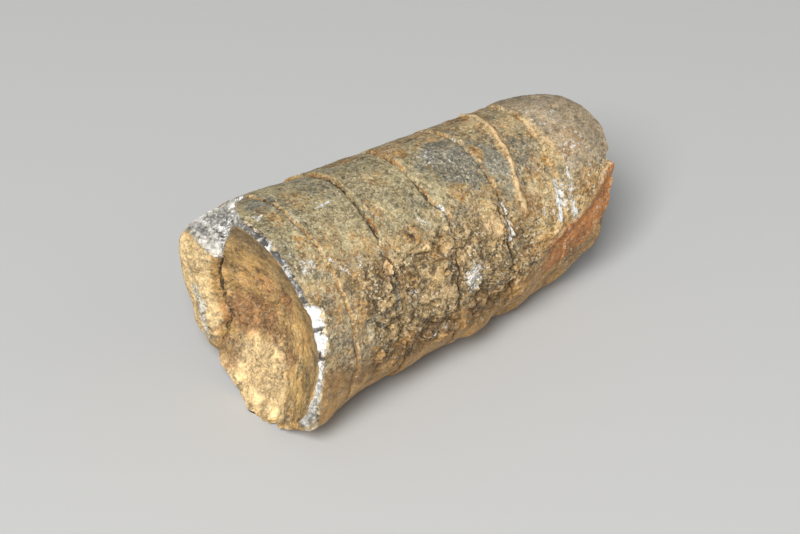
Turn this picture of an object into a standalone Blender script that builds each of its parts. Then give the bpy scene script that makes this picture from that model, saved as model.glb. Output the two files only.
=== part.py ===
"""Orthoceras fossil: a broken length of a straight-shelled cephalopod turned to stone, lying on its side.

The stone is one solid. It starts as a plain round bar (front disc, barrel, back disc) along X. Each
point of the bar is then carried to its place on the fossil: the front disc becomes the hollow septum
with its rim, the barrel becomes the tapering ringed shell, and the back disc becomes the broken tip end.

Lengths are millimetres until the last step, which writes metres. On the barrel a place is given by x,
the distance behind the front rim, and by turn, the angle in degrees round the shell: 0 on top, 90 on
the right as seen facing the hollow end, 180 on the underside, -90 on the left.
"""
import math

import bmesh
import bpy
from mathutils import Vector, noise

NAME = "orthoceras_fossil"
MM = 0.001

# Driving sizes
RIM_RADIUS = 15.5        # outer radius at the front rim
TAPER = 0.0492           # radius lost for each millimetre towards the tip
BAR_LENGTH = 55.0        # barrel length before its ends are shaped
TURN_STEPS = 80          # facets round the shell
REST_FLAT = 0.2          # depth of the worn flat strip along the underside
UNDER_FADE = (9, 26)     # turn each side of the underside over which the relief comes in
WORN_SHARE = 0.25        # share of the hollows' depth left on the underside
MERGE = 1e-6             # metres, closes the bar's seam and its two poles
BAR_SLACK = 0.01         # points this near the bar's radius belong to its barrel

# Septum: the hollow wall of the last chamber, with the tube scar at its centre
BOWL_DEPTH = 5.8
BOWL_RADIUS = 13.4
SCAR_RADIUS = 1.4
SCAR_DEPTH = 0.5
SCAR_FLOOR = 0.4         # share of the scar's radius that is flat
SMOOTH_MIDDLE = (2.0, 6.0)  # radii between which the septum's roughness comes in
EDGE_FADE = (0.85, 1.0)     # shares of the septum's radius between which it dies away
RIM_LEAD = 0.1           # how far the septum edge may stand ahead of the rim plane

# Radius on the plain front disc where the septum edge lies
DISC_SEPTUM = 10.0

# The lump filling the left of the hollow, and the crack between it and the septum
LUMP_START = (-142, -130)
LUMP_END = (-74, -68)
LUMP_HEIGHT = 1.5
LUMP_FULLNESS = 0.6      # below 1 the lump is fullest near the crack
CRACK_DEPTH = 0.9
CRACK_WIDTH = 0.5
CRACK_REACH = 0.12       # share of the lump's width that the crack's wall takes

# The broken corner at the rim's upper left, and how uneven it and the rest of the rim face are
CORNER_START = (-72, -62)
CORNER_END = (-25, -8)
RIM_UNEVENNESS = 0.12
CORNER_UNEVENNESS = 0.45

# The broken tip end: its middle's distance behind the rim plane, its slope and swell
BACK_MIDDLE = 53.6
BACK_SLOPE = 0.24
BACK_SWELL = 1.6
# The ledge across it: height, slant, and how far it climbs over
LEDGE_HEIGHT = 1.3
LEDGE_SLANT = 0.4
LEDGE_CLIMB = (1.0, 2.6)

# Lines round the shell, each as (turn, millimetres) pairs joined smoothly
FRONT_RIM = (
    (-170, -0.1), (-158, 0.2), (-151, 0.8), (-144, 1.4), (-134, 0.6), (-124, 0.0), (-112, 0.4),
    (-98, 0.1), (-84, -0.1), (-76, 0.0), (-69, 1.2), (-62, 3.4), (-55, 5.0), (-45, 5.5), (-36, 6.0),
    (-29, 4.9), (-20, 1.9), (-13, 0.7), (-5, -0.1), (20, 0.0), (45, -0.2), (53, -0.3), (57.5, 1.6),
    (70, 1.0), (82, 0.0), (100, -0.5), (140, -0.7), (165, -1.1), (180, -1.0),
)
SEPTUM_EDGE = (
    (-165, 14.9), (-148, 14.4), (-140, 13.0), (-132, 11.3), (-123, 9.9), (-87, 10.1), (-66, 10.1),
    (-43, 10.8), (-25, 12.0), (-10, 13.5), (17, 13.4), (51, 13.2), (60, 14.1), (66, 13.9), (77, 13.1),
    (92, 12.7), (108, 12.9), (119, 13.6), (131, 14.5), (141, 14.9), (180, 15.0),
)
BACK_EDGE = (
    (-140, 52.5), (-100, 53.5), (-60, 54.0), (-23, 55.2), (-5, 56.4), (12, 57.1), (29, 57.2),
    (44, 56.3), (50, 54.9), (56, 55.8), (64, 55.2), (74, 53.9), (91, 52.0), (107, 51.8), (114, 51.2),
    (121, 49.6), (135, 49.0), (160, 50.0), (180, 51.0),
)
SUTURE_1 = ((0, 5.0), (60, 5.1), (120, 4.8), (-120, 5.2))
SUTURE_2 = (
    (-60, 13.9), (-20, 15.1), (0, 15.3), (24, 14.5), (48, 14.0), (68, 14.4), (90, 14.0), (112, 15.0),
    (150, 15.2), (180, 14.6), (-120, 14.2),
)
SUTURE_3 = (
    (-32, 25.3), (5, 24.7), (30, 24.2), (41, 25.3), (59, 25.4), (69, 24.5), (88, 23.6), (120, 24.4),
    (180, 25.2), (-90, 25.6),
)
SUTURE_4 = (
    (-90, 35.6), (-16, 35.3), (2, 35.6), (18, 35.1), (47, 34.7), (74, 34.1), (110, 34.4), (180, 35.2),
)
VEIN = (
    (-60, 43.6), (-16, 42.3), (1, 41.5), (16, 40.4), (29, 39.5), (38, 38.6), (47, 37.9), (75, 37.4),
    (120, 38.2), (180, 41.0), (-110, 43.0),
)
SUTURE_5 = (
    (-60, 47.6), (2, 46.8), (22, 46.0), (40, 45.1), (75, 44.3), (120, 43.8), (180, 45.5), (-120, 47.0),
)

# Where each line lies on the plain bar, front to back
BAR_LINES = (
    (0.0, FRONT_RIM), (5.0, SUTURE_1), (14.5, SUTURE_2), (24.8, SUTURE_3), (35.0, SUTURE_4), (40.5, VEIN),
    (46.0, SUTURE_5), (BAR_LENGTH, BACK_EDGE),
)
LINE_GAPS = (-0.7, -0.25, 0.25, 1.1)   # rings of points before and behind each line
BACK_GAPS = (0.25, 1.4)                # rings of points before the back edge
RING_SPACING = 2.2                     # rings of points between the lines
FIRST_SUTURE_GAP = 0.9                 # least distance of the first suture behind the rim
SEPTUM_RADII = (0.0, 1.0, 2.2, 3.9, 5.6, 7.2, 8.6, 9.5, DISC_SEPTUM)
RIM_RADII = (10.6, 11.6, 12.9, 14.4)
TIP_RADII = (13.2, 10.6, 8.0, 5.2, 2.6, 0.0)

# Sutures: line, groove depth, height of the chamber behind above the one in front
SUTURES = (
    (SUTURE_1, 0.12, 0.08), (SUTURE_2, 0.45, 0.42), (SUTURE_3, 0.32, 0.18), (SUTURE_4, 0.25, 0.10),
    (SUTURE_5, 0.10, 0.14),
)
GROOVE_WIDTH = 0.35
GROOVE_LEAD = 0.15       # how far a groove's bottom lies in front of its line
STEP_CLIMB = (-0.1, 0.3)
STEP_MIDDLE = 0.45
STEP_FADE = 7.0
VEIN_HEIGHT = 0.5
VEIN_WIDTH = 0.7
VEIN_TURN = -8.0
VEIN_FADE = (45, 75)

# Unevenness, each as (size of the lumps, seed, height)
SKIN_RADIUS = 13.0       # the plain tube on which the skin's noise is read
SKIN_LUMPS = ((11.0, 3.1, 0.30), (4.5, 8.4, 0.16))
CRUST_LUMPS = ((2.4, 5.7, 0.42),)
GROOVE_LUMPS = ((7.0, 6.6, 0.7),)
SEPTUM_LUMPS = ((5.0, 1.3, 0.30), (2.0, 6.1, 0.14))
RIM_LUMPS = ((2.6, 2.2, 1.0),)
BACK_LUMPS = ((6.0, 4.4, 0.55), (2.6, 9.2, 0.35))
LEDGE_LUMPS = ((5.0, 7.7, 1.2),)

# The crusted patch: where along the shell it comes in and goes out, its middle turn and half turn
CRUST_START = (5.0, 11.0)
CRUST_END = (33.0, 39.0)
CRUST_TURN = 82.0
CRUST_HALF_TURN = (26.0, 42.0)

# Knobs of crust: x, turn, half length, half turn, height
KNOBS = (
    (10.6, 61, 2.3, 9, 0.75), (10.2, 66, 4.6, 14, 0.45), (18.3, 45, 1.9, 7, 0.55),
    (21.0, 66, 3.2, 12, 0.50), (17.5, 92, 3.0, 11, 0.45), (28.5, 58, 2.2, 8, 0.40),
    (31.0, 84, 3.4, 12, 0.50), (13.0, 114, 2.6, 9, 0.45), (28.8, 125, 3.2, 11, 0.60),
    (24.5, 106, 2.6, 8, 0.40), (5.5, 92, 2.8, 10, 0.35), (41.6, -41, 1.3, 4, 0.35),
    (8.0, -100, 4.0, 14, 0.50), (22.0, -75, 3.6, 12, 0.45), (31.0, -115, 4.4, 15, 0.55),
    (45.0, -80, 3.8, 14, 0.45), (19.0, -145, 3.4, 11, 0.45), (38.0, 140, 3.6, 10, 0.40),
    (30.0, 150, 3.0, 8, 0.35), (53.0, 8, 6.0, 38, 0.50),
)
# Swellings of the shell behind the rim: turn, half turn, how far back they reach, height
RIM_SWELLS = ((-67.0, 17.0, 9.0, 1.0), (131.0, 15.0, 4.5, 1.3))
# How far the skin draws in at the back edge, and over what length
BACK_ROUNDING = ((-100, 0.9), (0, 0.7), (45, 0.4), (70, 0.1), (115, 0.1), (150, 0.8))
BACK_ROUNDING_REACH = 3.5
# Pits worn into the skin: x, turn, half length, half turn, depth
PITS = (
    (18.6, 41, 0.9, 3.5, 0.55), (35.0, 58, 0.8, 4, 0.35), (12.0, 84, 1.4, 5, 0.45),
    (27.5, 97, 1.5, 4, 0.50), (22.0, 88, 1.3, 5, 0.40), (33.5, 100, 1.8, 5, 0.45),
    (46.5, 60, 1.3, 5, 0.35), (7.5, 76, 1.2, 4, 0.35), (35.5, 127, 3.2, 13, 0.60),
    (44.5, 126, 3.0, 10, 0.40), (27.0, -44, 5.0, 12, 0.35), (44.5, -43, 6.0, 14, 0.40),
    (14.0, -70, 1.6, 6, 0.45), (37.0, -66, 2.0, 7, 0.45), (27.0, -140, 2.0, 7, 0.45),
    (48.0, -125, 2.2, 8, 0.50),
)

# The flake lost from the lower right of the tip end: its upper border as (x, turn), its depth,
# the widths of its start and its upper edge, and the turns over which it runs out below
FLAKE_BORDER = (
    (36.0, 96), (38.0, 90), (42.5, 82.5), (46.0, 77.5), (49.0, 72), (51.5, 66), (53.5, 59), (57.0, 53),
)
FLAKE_DEPTH = 0.8
FLAKE_START = 5.0
FLAKE_STEP = 1.6
FLAKE_FADE = (112, 145)
FLAKE_OUTSIDE = 136.0    # border turn used where there is no flake


def smooth(value, low, high):
    """0 below low, 1 above high, with an eased climb between."""
    t = min(max((value - low) / (high - low), 0.0), 1.0)
    return t * t * (3.0 - 2.0 * t)


def around(turn, pairs):
    """The value at a turn of a closed line given by (turn, value) pairs."""
    pairs = sorted(pairs)
    first_turn, first_value = pairs[0]
    pairs = pairs + [(first_turn + 360.0, first_value)]
    turn = (turn - first_turn) % 360.0 + first_turn
    for (t0, v0), (t1, v1) in zip(pairs, pairs[1:]):
        if turn <= t1:
            return v0 + (v1 - v0) * smooth(turn, t0, t1)
    return first_value


def turn_between(turn, centre):
    """The signed angle from centre to turn, the short way round."""
    return (turn - centre + 180.0) % 360.0 - 180.0


def cone_radius(x):
    return RIM_RADIUS - TAPER * x


def within(turn, start, end):
    """1 between two turns, easing in over start and out over end."""
    return smooth(turn, *start) * (1.0 - smooth(turn, *end))


def shell_x(bar_x, turn):
    """Where a ring of the plain bar crosses the fossil: the rings bend to follow the sutures."""
    rim = around(turn, FRONT_RIM)
    spots = []
    for place, line in BAR_LINES:
        x = around(turn, line)
        if line is SUTURE_1:
            x = max(x, rim + FIRST_SUTURE_GAP)
        spots.append((place, x))
    for (b0, x0), (b1, x1) in zip(spots, spots[1:]):
        if bar_x <= b1:
            return x0 + (x1 - x0) * (bar_x - b0) / (b1 - b0)
    return spots[-1][1]


def mound(x, turn, spot):
    """A flat-topped bump of height 1 at its centre, 0 at its edge."""
    centre_x, centre_turn, half_length, half_turn = spot[:4]
    away = math.hypot((x - centre_x) / half_length, turn_between(turn, centre_turn) / half_turn)
    return 1.0 - smooth(away, 0.35, 1.0)


def place_on_tube(x, radius, turn):
    arm = math.radians(turn)
    return x, radius * math.sin(arm), radius * math.cos(arm)


def lumps(place, sizes):
    """Smooth lumps of one or more sizes, above and below nought."""
    total = 0.0
    for size, seed, height in sizes:
        total += height * noise.noise(Vector(place) / size + Vector((seed, seed * 1.7, -seed)))
    return total


def crusted(x, turn):
    """1 in the knobbly crusted patch on the right flank, 0 on the smoother shell."""
    along = within(x, CRUST_START, CRUST_END)
    return along * (1.0 - smooth(abs(turn_between(turn, CRUST_TURN)), *CRUST_HALF_TURN))


def flake_loss(x, turn):
    """How deep the lost flake lies under the old skin."""
    border = FLAKE_OUTSIDE
    for (x0, t0), (x1, t1) in zip(FLAKE_BORDER, FLAKE_BORDER[1:]):
        if x0 <= x <= x1:
            border = t0 + (t1 - t0) * (x - x0) / (x1 - x0)
    below = math.radians(turn_between(turn, border)) * cone_radius(x)
    start = FLAKE_BORDER[0][0]
    depth = FLAKE_DEPTH * smooth(x, start, start + FLAKE_START) * smooth(below, 0.0, FLAKE_STEP)
    return depth * (1.0 - smooth(turn, *FLAKE_FADE))


def relief(x, turn):
    """How far the skin stands above the plain cone."""
    place = place_on_tube(x, SKIN_RADIUS, turn)
    height = lumps(place, SKIN_LUMPS) + crusted(x, turn) * lumps(place, CRUST_LUMPS)
    for line, depth, step in SUTURES:
        past = x - around(turn, line)
        groove = depth * (1.0 + lumps(place, GROOVE_LUMPS))
        height -= groove * math.exp(-((past + GROOVE_LEAD) / GROOVE_WIDTH) ** 2)
        height += step * (smooth(past, *STEP_CLIMB) - STEP_MIDDLE) * math.exp(-abs(past) / STEP_FADE)
    ridge = (x - around(turn, VEIN)) / VEIN_WIDTH
    fade = 1.0 - smooth(abs(turn_between(turn, VEIN_TURN)), *VEIN_FADE)
    height += VEIN_HEIGHT * fade * math.exp(-ridge * ridge)
    for knob in KNOBS:
        height += knob[4] * mound(x, turn, knob)
    for pit in PITS:
        height -= pit[4] * mound(x, turn, pit)
    for swell_turn, half_turn, reach, swell in RIM_SWELLS:
        away = turn_between(turn, swell_turn) / half_turn
        height += swell * math.exp(-away * away - (x / reach) ** 2)
    height -= flake_loss(x, turn)
    behind = around(turn, BACK_EDGE) - x
    height -= around(turn, BACK_ROUNDING) * (1.0 - smooth(behind, 0.0, BACK_ROUNDING_REACH)) ** 2
    return height


def under_fade(turn):
    """0 along the worn underside, 1 on the rest of the shell."""
    return smooth(abs(turn_between(turn, 180.0)), *UNDER_FADE)


def barrel_point(bar_x, turn):
    x = shell_x(bar_x, turn)
    worn = WORN_SHARE + (1.0 - WORN_SHARE) * under_fade(turn)
    height = relief(x, turn)
    if height > 0.0:
        height *= under_fade(turn)
    return x, cone_radius(x) + height * worn


def bowl_x(radius):
    """The septum's depth behind the plane of the rim."""
    hollow = BOWL_DEPTH * (1.0 - (radius / BOWL_RADIUS) ** 2)
    return hollow + SCAR_DEPTH * (1.0 - smooth(radius, SCAR_FLOOR * SCAR_RADIUS, SCAR_RADIUS))


def septum_point(disc_radius, turn):
    """A point of the hollow septum, inside its edge."""
    edge_radius = around(turn, SEPTUM_EDGE)
    share = disc_radius / DISC_SEPTUM
    radius = disc_radius * (1.0 + (edge_radius / DISC_SEPTUM - 1.0) * share ** 2)
    x = bowl_x(radius) + (septum_edge_x(turn) - bowl_x(edge_radius)) * share ** 4
    lump = within(turn, LUMP_START, LUMP_END)
    x += CRACK_DEPTH * lump * smooth(disc_radius, DISC_SEPTUM - CRACK_WIDTH, DISC_SEPTUM)
    rough = smooth(radius, *SMOOTH_MIDDLE) * (1.0 - smooth(share, *EDGE_FADE))
    return x + rough * lumps(place_on_tube(0.0, radius, turn), SEPTUM_LUMPS), radius


def septum_edge_x(turn):
    rim_x, rim_radius = barrel_point(0.0, turn)
    return max(bowl_x(around(turn, SEPTUM_EDGE)), min(rim_x, 0.0) - RIM_LEAD)


def rim_point(disc_radius, turn):
    """A point of the rim's broken face, from the septum edge out to the shell."""
    rim_x, rim_radius = barrel_point(0.0, turn)
    edge_x = septum_edge_x(turn)
    edge_radius = around(turn, SEPTUM_EDGE)
    share = (disc_radius - DISC_SEPTUM) / (RIM_RADIUS - DISC_SEPTUM)
    radius = edge_radius + (rim_radius - edge_radius) * share
    lump = within(turn, LUMP_START, LUMP_END)
    x = edge_x + (rim_x - edge_x) * share
    x += CRACK_DEPTH * lump * (1.0 - smooth(share, 0.0, CRACK_REACH))
    x -= LUMP_HEIGHT * lump * math.sin(math.pi * share ** LUMP_FULLNESS)
    uneven = RIM_UNEVENNESS + CORNER_UNEVENNESS * within(turn, CORNER_START, CORNER_END)
    x += uneven * math.sin(math.pi * share) * lumps(place_on_tube(0.0, radius, turn), RIM_LUMPS)
    return x, radius


def back_point(disc_radius, turn):
    """The broken tip end: an uneven swell between the ragged back edge and its middle."""
    rim_x, rim_radius = barrel_point(BAR_LENGTH, turn)
    share = disc_radius / RIM_RADIUS
    radius = rim_radius * share
    place = place_on_tube(0.0, radius, turn)
    edge_up = rim_radius * math.cos(math.radians(turn))
    x = BACK_MIDDLE + BACK_SLOPE * place[2]
    x += (rim_x - BACK_MIDDLE - BACK_SLOPE * edge_up) * share ** 5
    rough = BACK_SWELL + lumps(place, BACK_LUMPS)
    across = place[1] - LEDGE_SLANT * place[2] + lumps(place, LEDGE_LUMPS)
    rough -= LEDGE_HEIGHT * smooth(across, *LEDGE_CLIMB)
    return x + (1.0 - share ** 3) * rough, radius


def ring_places():
    """Ring positions along the bar: close beside each line, even between the lines."""
    places = {0.0, BAR_LENGTH}
    lines = [place for place, line in BAR_LINES]
    for before, behind in zip(lines, lines[1:]):
        start = before + LINE_GAPS[-1]
        stop = behind + LINE_GAPS[0]
        count = max(1, round((stop - start) / RING_SPACING))
        places.update(start + (stop - start) * step / count for step in range(count + 1))
        places.update(behind + gap for gap in LINE_GAPS[1:3] if behind < BAR_LENGTH)
    places.update(BAR_LENGTH - gap for gap in BACK_GAPS)
    return sorted(places)


def plain_bar():
    """The bar before shaping: one outline of disc, barrel and disc, turned about X."""
    bm = bmesh.new()
    outline = [(0.0, radius) for radius in SEPTUM_RADII + RIM_RADII]
    outline += [(x, RIM_RADIUS) for x in ring_places()]
    outline += [(BAR_LENGTH, radius) for radius in TIP_RADII]
    verts = [bm.verts.new((x * MM, 0.0, radius * MM)) for x, radius in outline]
    for first, second in zip(verts, verts[1:]):
        bm.edges.new((first, second))
    bmesh.ops.spin(
        bm, geom=bm.verts[:] + bm.edges[:], cent=(0.0, 0.0, 0.0), axis=(1.0, 0.0, 0.0),
        angle=2.0 * math.pi, steps=TURN_STEPS, use_merge=True, use_duplicate=False,
    )
    bmesh.ops.remove_doubles(bm, verts=bm.verts[:], dist=MERGE)
    return bm


def fossil_point(co):
    """Carries one point of the plain bar to its place on the fossil."""
    bar_x = co.x / MM
    disc_radius = math.hypot(co.y, co.z) / MM
    turn = math.degrees(math.atan2(-co.y, co.z))
    if disc_radius > RIM_RADIUS - BAR_SLACK:
        x, radius = barrel_point(bar_x, turn)
    elif bar_x > 0.5 * BAR_LENGTH:
        x, radius = back_point(disc_radius, turn)
    elif disc_radius <= DISC_SEPTUM:
        x, radius = septum_point(disc_radius, turn)
    else:
        x, radius = rim_point(disc_radius, turn)
    across, up = place_on_tube(x, radius, turn)[1:]
    z = cone_radius(x) + up - REST_FLAT
    return Vector((x * MM, -across * MM, max(z, 0.0) * MM))


def stone_material():
    material = bpy.data.materials.new("weathered_limestone")
    material.use_nodes = True
    shader = material.node_tree.nodes["Principled BSDF"]
    shader.inputs["Base Color"].default_value = (0.41, 0.30, 0.17, 1.0)
    shader.inputs["Roughness"].default_value = 0.8
    shader.inputs["Metallic"].default_value = 0.0
    return material


def build_fossil():
    bm = plain_bar()
    for vert in bm.verts:
        vert.co = fossil_point(vert.co)
    bmesh.ops.triangulate(bm, faces=bm.faces[:])
    bmesh.ops.recalc_face_normals(bm, faces=bm.faces[:])
    low_x = min(vert.co.x for vert in bm.verts)
    high_x = max(vert.co.x for vert in bm.verts)
    low_y = min(vert.co.y for vert in bm.verts)
    high_y = max(vert.co.y for vert in bm.verts)
    to_origin = Vector((-0.5 * (low_x + high_x), -0.5 * (low_y + high_y), 0.0))
    bmesh.ops.translate(bm, verts=bm.verts[:], vec=to_origin)
    mesh = bpy.data.meshes.new(NAME)
    bm.to_mesh(mesh)
    bm.free()
    mesh.materials.append(stone_material())
    mesh.shade_smooth()
    mesh.set_sharp_from_angle(angle=math.radians(35.0))
    fossil = bpy.data.objects.new(NAME, mesh)
    bpy.context.scene.collection.objects.link(fossil)


def main():
    for old in list(bpy.data.objects):
        bpy.data.objects.remove(old, do_unlink=True)
    build_fossil()


main()
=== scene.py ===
import math
from collections import namedtuple

import bmesh
import bpy
import numpy as np
from bpy.props import FloatProperty, FloatVectorProperty, IntProperty, PointerProperty
from bpy.types import NodeSocket, Operator, Panel, PropertyGroup
from mathutils import Matrix, Vector, noise


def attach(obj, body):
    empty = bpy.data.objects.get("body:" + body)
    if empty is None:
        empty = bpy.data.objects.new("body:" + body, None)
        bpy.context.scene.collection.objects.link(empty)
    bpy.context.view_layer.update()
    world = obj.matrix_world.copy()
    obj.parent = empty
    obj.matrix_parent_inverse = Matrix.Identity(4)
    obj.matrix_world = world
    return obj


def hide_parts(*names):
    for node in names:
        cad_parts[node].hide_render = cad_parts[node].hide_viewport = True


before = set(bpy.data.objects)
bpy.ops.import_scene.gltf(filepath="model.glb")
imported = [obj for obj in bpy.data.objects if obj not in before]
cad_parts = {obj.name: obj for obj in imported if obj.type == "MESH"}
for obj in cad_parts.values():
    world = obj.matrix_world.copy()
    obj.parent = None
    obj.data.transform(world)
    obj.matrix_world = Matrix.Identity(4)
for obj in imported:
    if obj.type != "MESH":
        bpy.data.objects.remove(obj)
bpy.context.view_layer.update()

bl_info = {
    "name": "Orthoceras Fossil",
    "version": (1, 0, 0),
    "blender": (4, 5, 0),
    "location": "3D View > Sidebar > Fossil",
    "description": "Models and colours a ringed straight-shelled fossil and its plain stage",
    "category": "Object",
}

NODE = "orthoceras_fossil"
MM = 0.001

# Sizes in millimetres, in the fossil's own measure: x runs back from the front rim, turn is the angle
# in degrees round the shell, 0 on top, 90 on the right facing the hollow end, 180 underneath.
RIM_RADIUS = 15.5
TAPER = 0.0492
BAR_LENGTH = 55.0
REST_FLAT = 0.2
MERGE = 1e-6
ORIGIN_SHIFT = (-28.000, -0.160)
CROWDED_TURN = 35.0
TURN_CROWDING = 17.0
BEND_SEED = 5
PLACES_RADIUS = 13.0
ON_BARREL = 0.01
FAR_OFF = 99.0

# The hollow end and the broken tip end
BOWL_DEPTH = 5.8
BOWL_RADIUS = 13.4
SCAR_RADIUS = 1.4
SCAR_DEPTH = 0.5
DISC_SEPTUM = 10.0
EDGE_DROP = 0.1
LUMP_HEIGHT = 1.5
CRACK_DEPTH = 0.9
CRACK_WIDTH = 0.5
CRACK_SHARE = 0.06
# Width of the painted shade along the crack beside the lump
CRACK_SHADE_WIDTH = 0.18
BACK_MIDDLE = 53.6
BACK_SLOPE = 0.24
BACK_SWELL = 1.6
BACK_TILT = 0.4
LEDGE_HEIGHT = 1.3

# The skin: sutures with the step and lip behind each, the vein, the lost flake and the crust
RIM_MARGIN = 0.9
GROOVE_WIDTH = 0.21
GROOVE_GAIN = 1.3
STEP_FADE = 7.0
STEP_MIDDLE = 0.45
LIP_HEIGHT = 0.12
LIP_PLACE = 0.4
LIP_WIDTH = 0.25
VEIN_HEIGHT = 0.46
VEIN_WIDTH = 0.58
VEIN_WANDER = 0.6
VEIN_SEED = 9.0
MOUND_TOP = 0.35
FLAKE_DEPTH = 0.8
FLAKE_STEP = 1.6
FLAKE_START = 5.0
FLAKE_OUTSIDE = 40.0
ROUNDING_REACH = 3.5
RIDGE_GAIN = 1.25
CRUST_STEP = 0.22
CRUST_STEP_WIDTH = 0.45
WHITE_RELIEF = 0.18
GROWTH_SPACING = 1.15
HOLE_DEPTH = 1.6
PORE_DEPTH = 0.3
SHARP_ANGLE = 60.0

# Breaks in the bar's outline: x, radius, widest gap between rings up to the next
DISC_MARKS = ((0, 0, 0.3), (0, 9.6, 0.09), (0, 10.4, 0.28), (0, RIM_RADIUS, 0.4))
LINE_MARKS = ((-0.9, RIM_RADIUS, 0.17), (1.1, RIM_RADIUS, 0.4))
BACK_MARKS = ((BAR_LENGTH, RIM_RADIUS, 0.6), (BAR_LENGTH, 6.5, 0.3), (BAR_LENGTH, 0, 0))

# Stretches along x or round the turn, each as (start, full from, full to, end)
CRUST_LENGTH = (5, 11, 33, 39)
LUMP_TURNS = (-142, -130, -74, -68)
CORNER_TURNS = (-72, -62, -25, -8)
VEIN_TURNS = (-60, 0, 40, 68)
CALCITE_TURNS = (-12, -4, 125, 138)
FLANK_CRUST_TURNS = (42, 62, 120, 140)
LOWER_FLANK_TURNS = (88, 100, 150, 170)
SHADED_TURNS = (-6, 6, 44, 56)
RUST_BAND = (-1.4, 0.4, 4, 7.5)
WHITE_BLOCK_TURNS = (52.5, 56, 79, 82)
LOW_WHITE_TURNS = (86, 92, 100, 126)
UPPER_BAND_TURNS = (-4, 6, 50, 55)
BAND_FACES = (-71, 138)
BAND_COLOURS = (-8, 138)

# Climbs and falls along x or round the turn, each as (from, to)
FLAKE_UNDERSIDE = (112, 145)
RAGGED_RIM = (0.4, 1.6)
WIDE_CRACK_TURNS = (-106, -90)
OLIVE_END = (24, 34)
FLANK_CRUST_START = (26, 34)
TIP_START = (46, 49)
PALE_SIDE = (40, 60)
SPECKLED_SIDE = (50, 64)
RUST_START = (37, 44)
LOWER_START = (20, 30)
LIP_START = (40, 43)

# Sides of the shell, each as (middle turn, near within, far beyond)
CRUST_SIDE = (82, 26, 42)
UNDERSIDE = (180, 9, 26)
RAGGED_SIDE = (-40, 70, 90)
LOWEST_RIM = (-30, 130, 150)
OLIVE_SIDE = (-10, 35, 60)
VEIN_SIDE = (-5, 58, 70)
LOWER_SIDE = (0, 84, 104)

# Layers of noise, each as (height, size of its lumps, seed)
BROAD_NOISE = ((0.3, 11, 3.1), (0.16, 4.5, 8.4))
CRUST_NOISE = (0.42, 2.4, 5.7)
WANDER_NOISE = ((0.24, 2.6, 1.7), (0.16, 0.9, 8.3))
VEIN_NOISE = ((0.5, 1.3, 4.4), (0.4, 0.6, 2.3))
SKIN_NOISE = ((1, 1.6, 2.9), (0.8, 0.7, 4.2))
RIM_NOISE = ((0.3, 1.7, 6.2), (0.16, 0.7, 1.5))
SEPTUM_EDGE_NOISE = ((0.3, 1.8, 2.8), (0.14, 0.7, 6.4))
HOLLOW_NOISE = ((0.3, 5, 1.3), (0.14, 2, 6.1))
HOLLOW_SKIN_NOISE = ((1.6, 1.4, 3.6), (1, 0.6, 8.8))
BAND_SKIN_NOISE = ((1.4, 1, 7.6), (1, 0.5, 4.1))
BACK_NOISE = ((0.55, 6, 4.4), (0.35, 2.6, 9.2))
SKIN_RAGS = ((1, 1.9, 5.1), (0.5, 0.8, 2.7))
HOLLOW_RAGS = ((1, 2.2, 5.9), (0.5, 0.9, 1.4))

# Crumbs of broken rock: how far their shapes bend, and how their domes and tones are read
CRUMB_BEND = 0.45
CRUMB_BEND_SCALE = 0.9
CRUMB_DOME = 0.45
CRUMB_TONES = 7.3
# Large and small crumbs of each surface: size, seed, half width of the cracks between them
SKIN_CRUMBS = ((1.9, 7.3, 0.16), (0.95, 2.6, 0.2))
HOLLOW_CRUMBS = ((2.3, 3.3, 0.12), (1.3, 5.8, 0.12))
BAND_CRUMBS = ((1.3, 4.7, 0.14), (0.6, 2.1, 0.14))
BACK_CRUMBS = ((2, 6.3, 0.12), (1.4, 1.6, 0.12))

# Patches of colour: how far noise pushes their edges, and where they begin and end to fade
PATCH_RAGS = 0.35
PATCH_EDGE = (0.45, 1.25)
HOLLOW_PATCH_RAGS = 0.3
HOLLOW_PATCH_EDGE = (0.3, 1.3)

# Lines round the shell, each as (turn, x) or (turn, radius) pairs joined smoothly
FRONT_RIM = (
    (-170, -0.1), (-158, 0.2), (-151, 0.8), (-144, 1.4), (-134, 0.6), (-124, 0), (-112, 0.4), (-98, 0.1),
    (-84, -0.1), (-76, 0), (-69, 1.2), (-62, 3.4), (-55, 5), (-45, 5.5), (-36, 6), (-29, 4.9),
    (-20, 1.9), (-13, 0.7), (-5, -0.1), (20, 0), (45, -0.2), (53, -0.3), (57.5, 1.6), (70, 1), (82, 0),
    (100, -0.5), (140, -0.7), (165, -1.1), (180, -1),
)
SEPTUM_EDGE = (
    (-165, 14.9), (-148, 14.4), (-140, 13), (-132, 11.3), (-123, 9.9), (-87, 10.1), (-66, 10.1),
    (-43, 10.8), (-25, 12), (-10, 13.5), (17, 13.4), (51, 13.2), (60, 14.1), (66, 13.9), (77, 13.1),
    (92, 12.7), (108, 12.9), (119, 13.6), (131, 14.5), (141, 14.9), (180, 15),
)
BACK_EDGE = (
    (-140, 52.5), (-100, 53.5), (-60, 54), (-23, 55.2), (-5, 56.4), (12, 57.1), (29, 57.2), (44, 56.3),
    (50, 54.9), (56, 55.8), (64, 55.2), (74, 53.9), (91, 52), (107, 51.8), (114, 51.2), (121, 49.6),
    (135, 49), (160, 50), (180, 51),
)
SUTURE_1 = ((0, 5), (60, 5.1), (120, 4.8), (-120, 5.2))
SUTURE_2 = (
    (-60, 13.9), (-20, 15.1), (0, 15.3), (24, 14.5), (48, 14), (68, 14.4), (90, 14), (112, 15),
    (150, 15.2), (180, 14.6), (-120, 14.2),
)
SUTURE_3 = (
    (-32, 25.3), (5, 24.7), (30, 24.2), (41, 25.3), (59, 25.4), (69, 24.5), (88, 23.6), (120, 24.4),
    (180, 25.2), (-90, 25.6),
)
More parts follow.
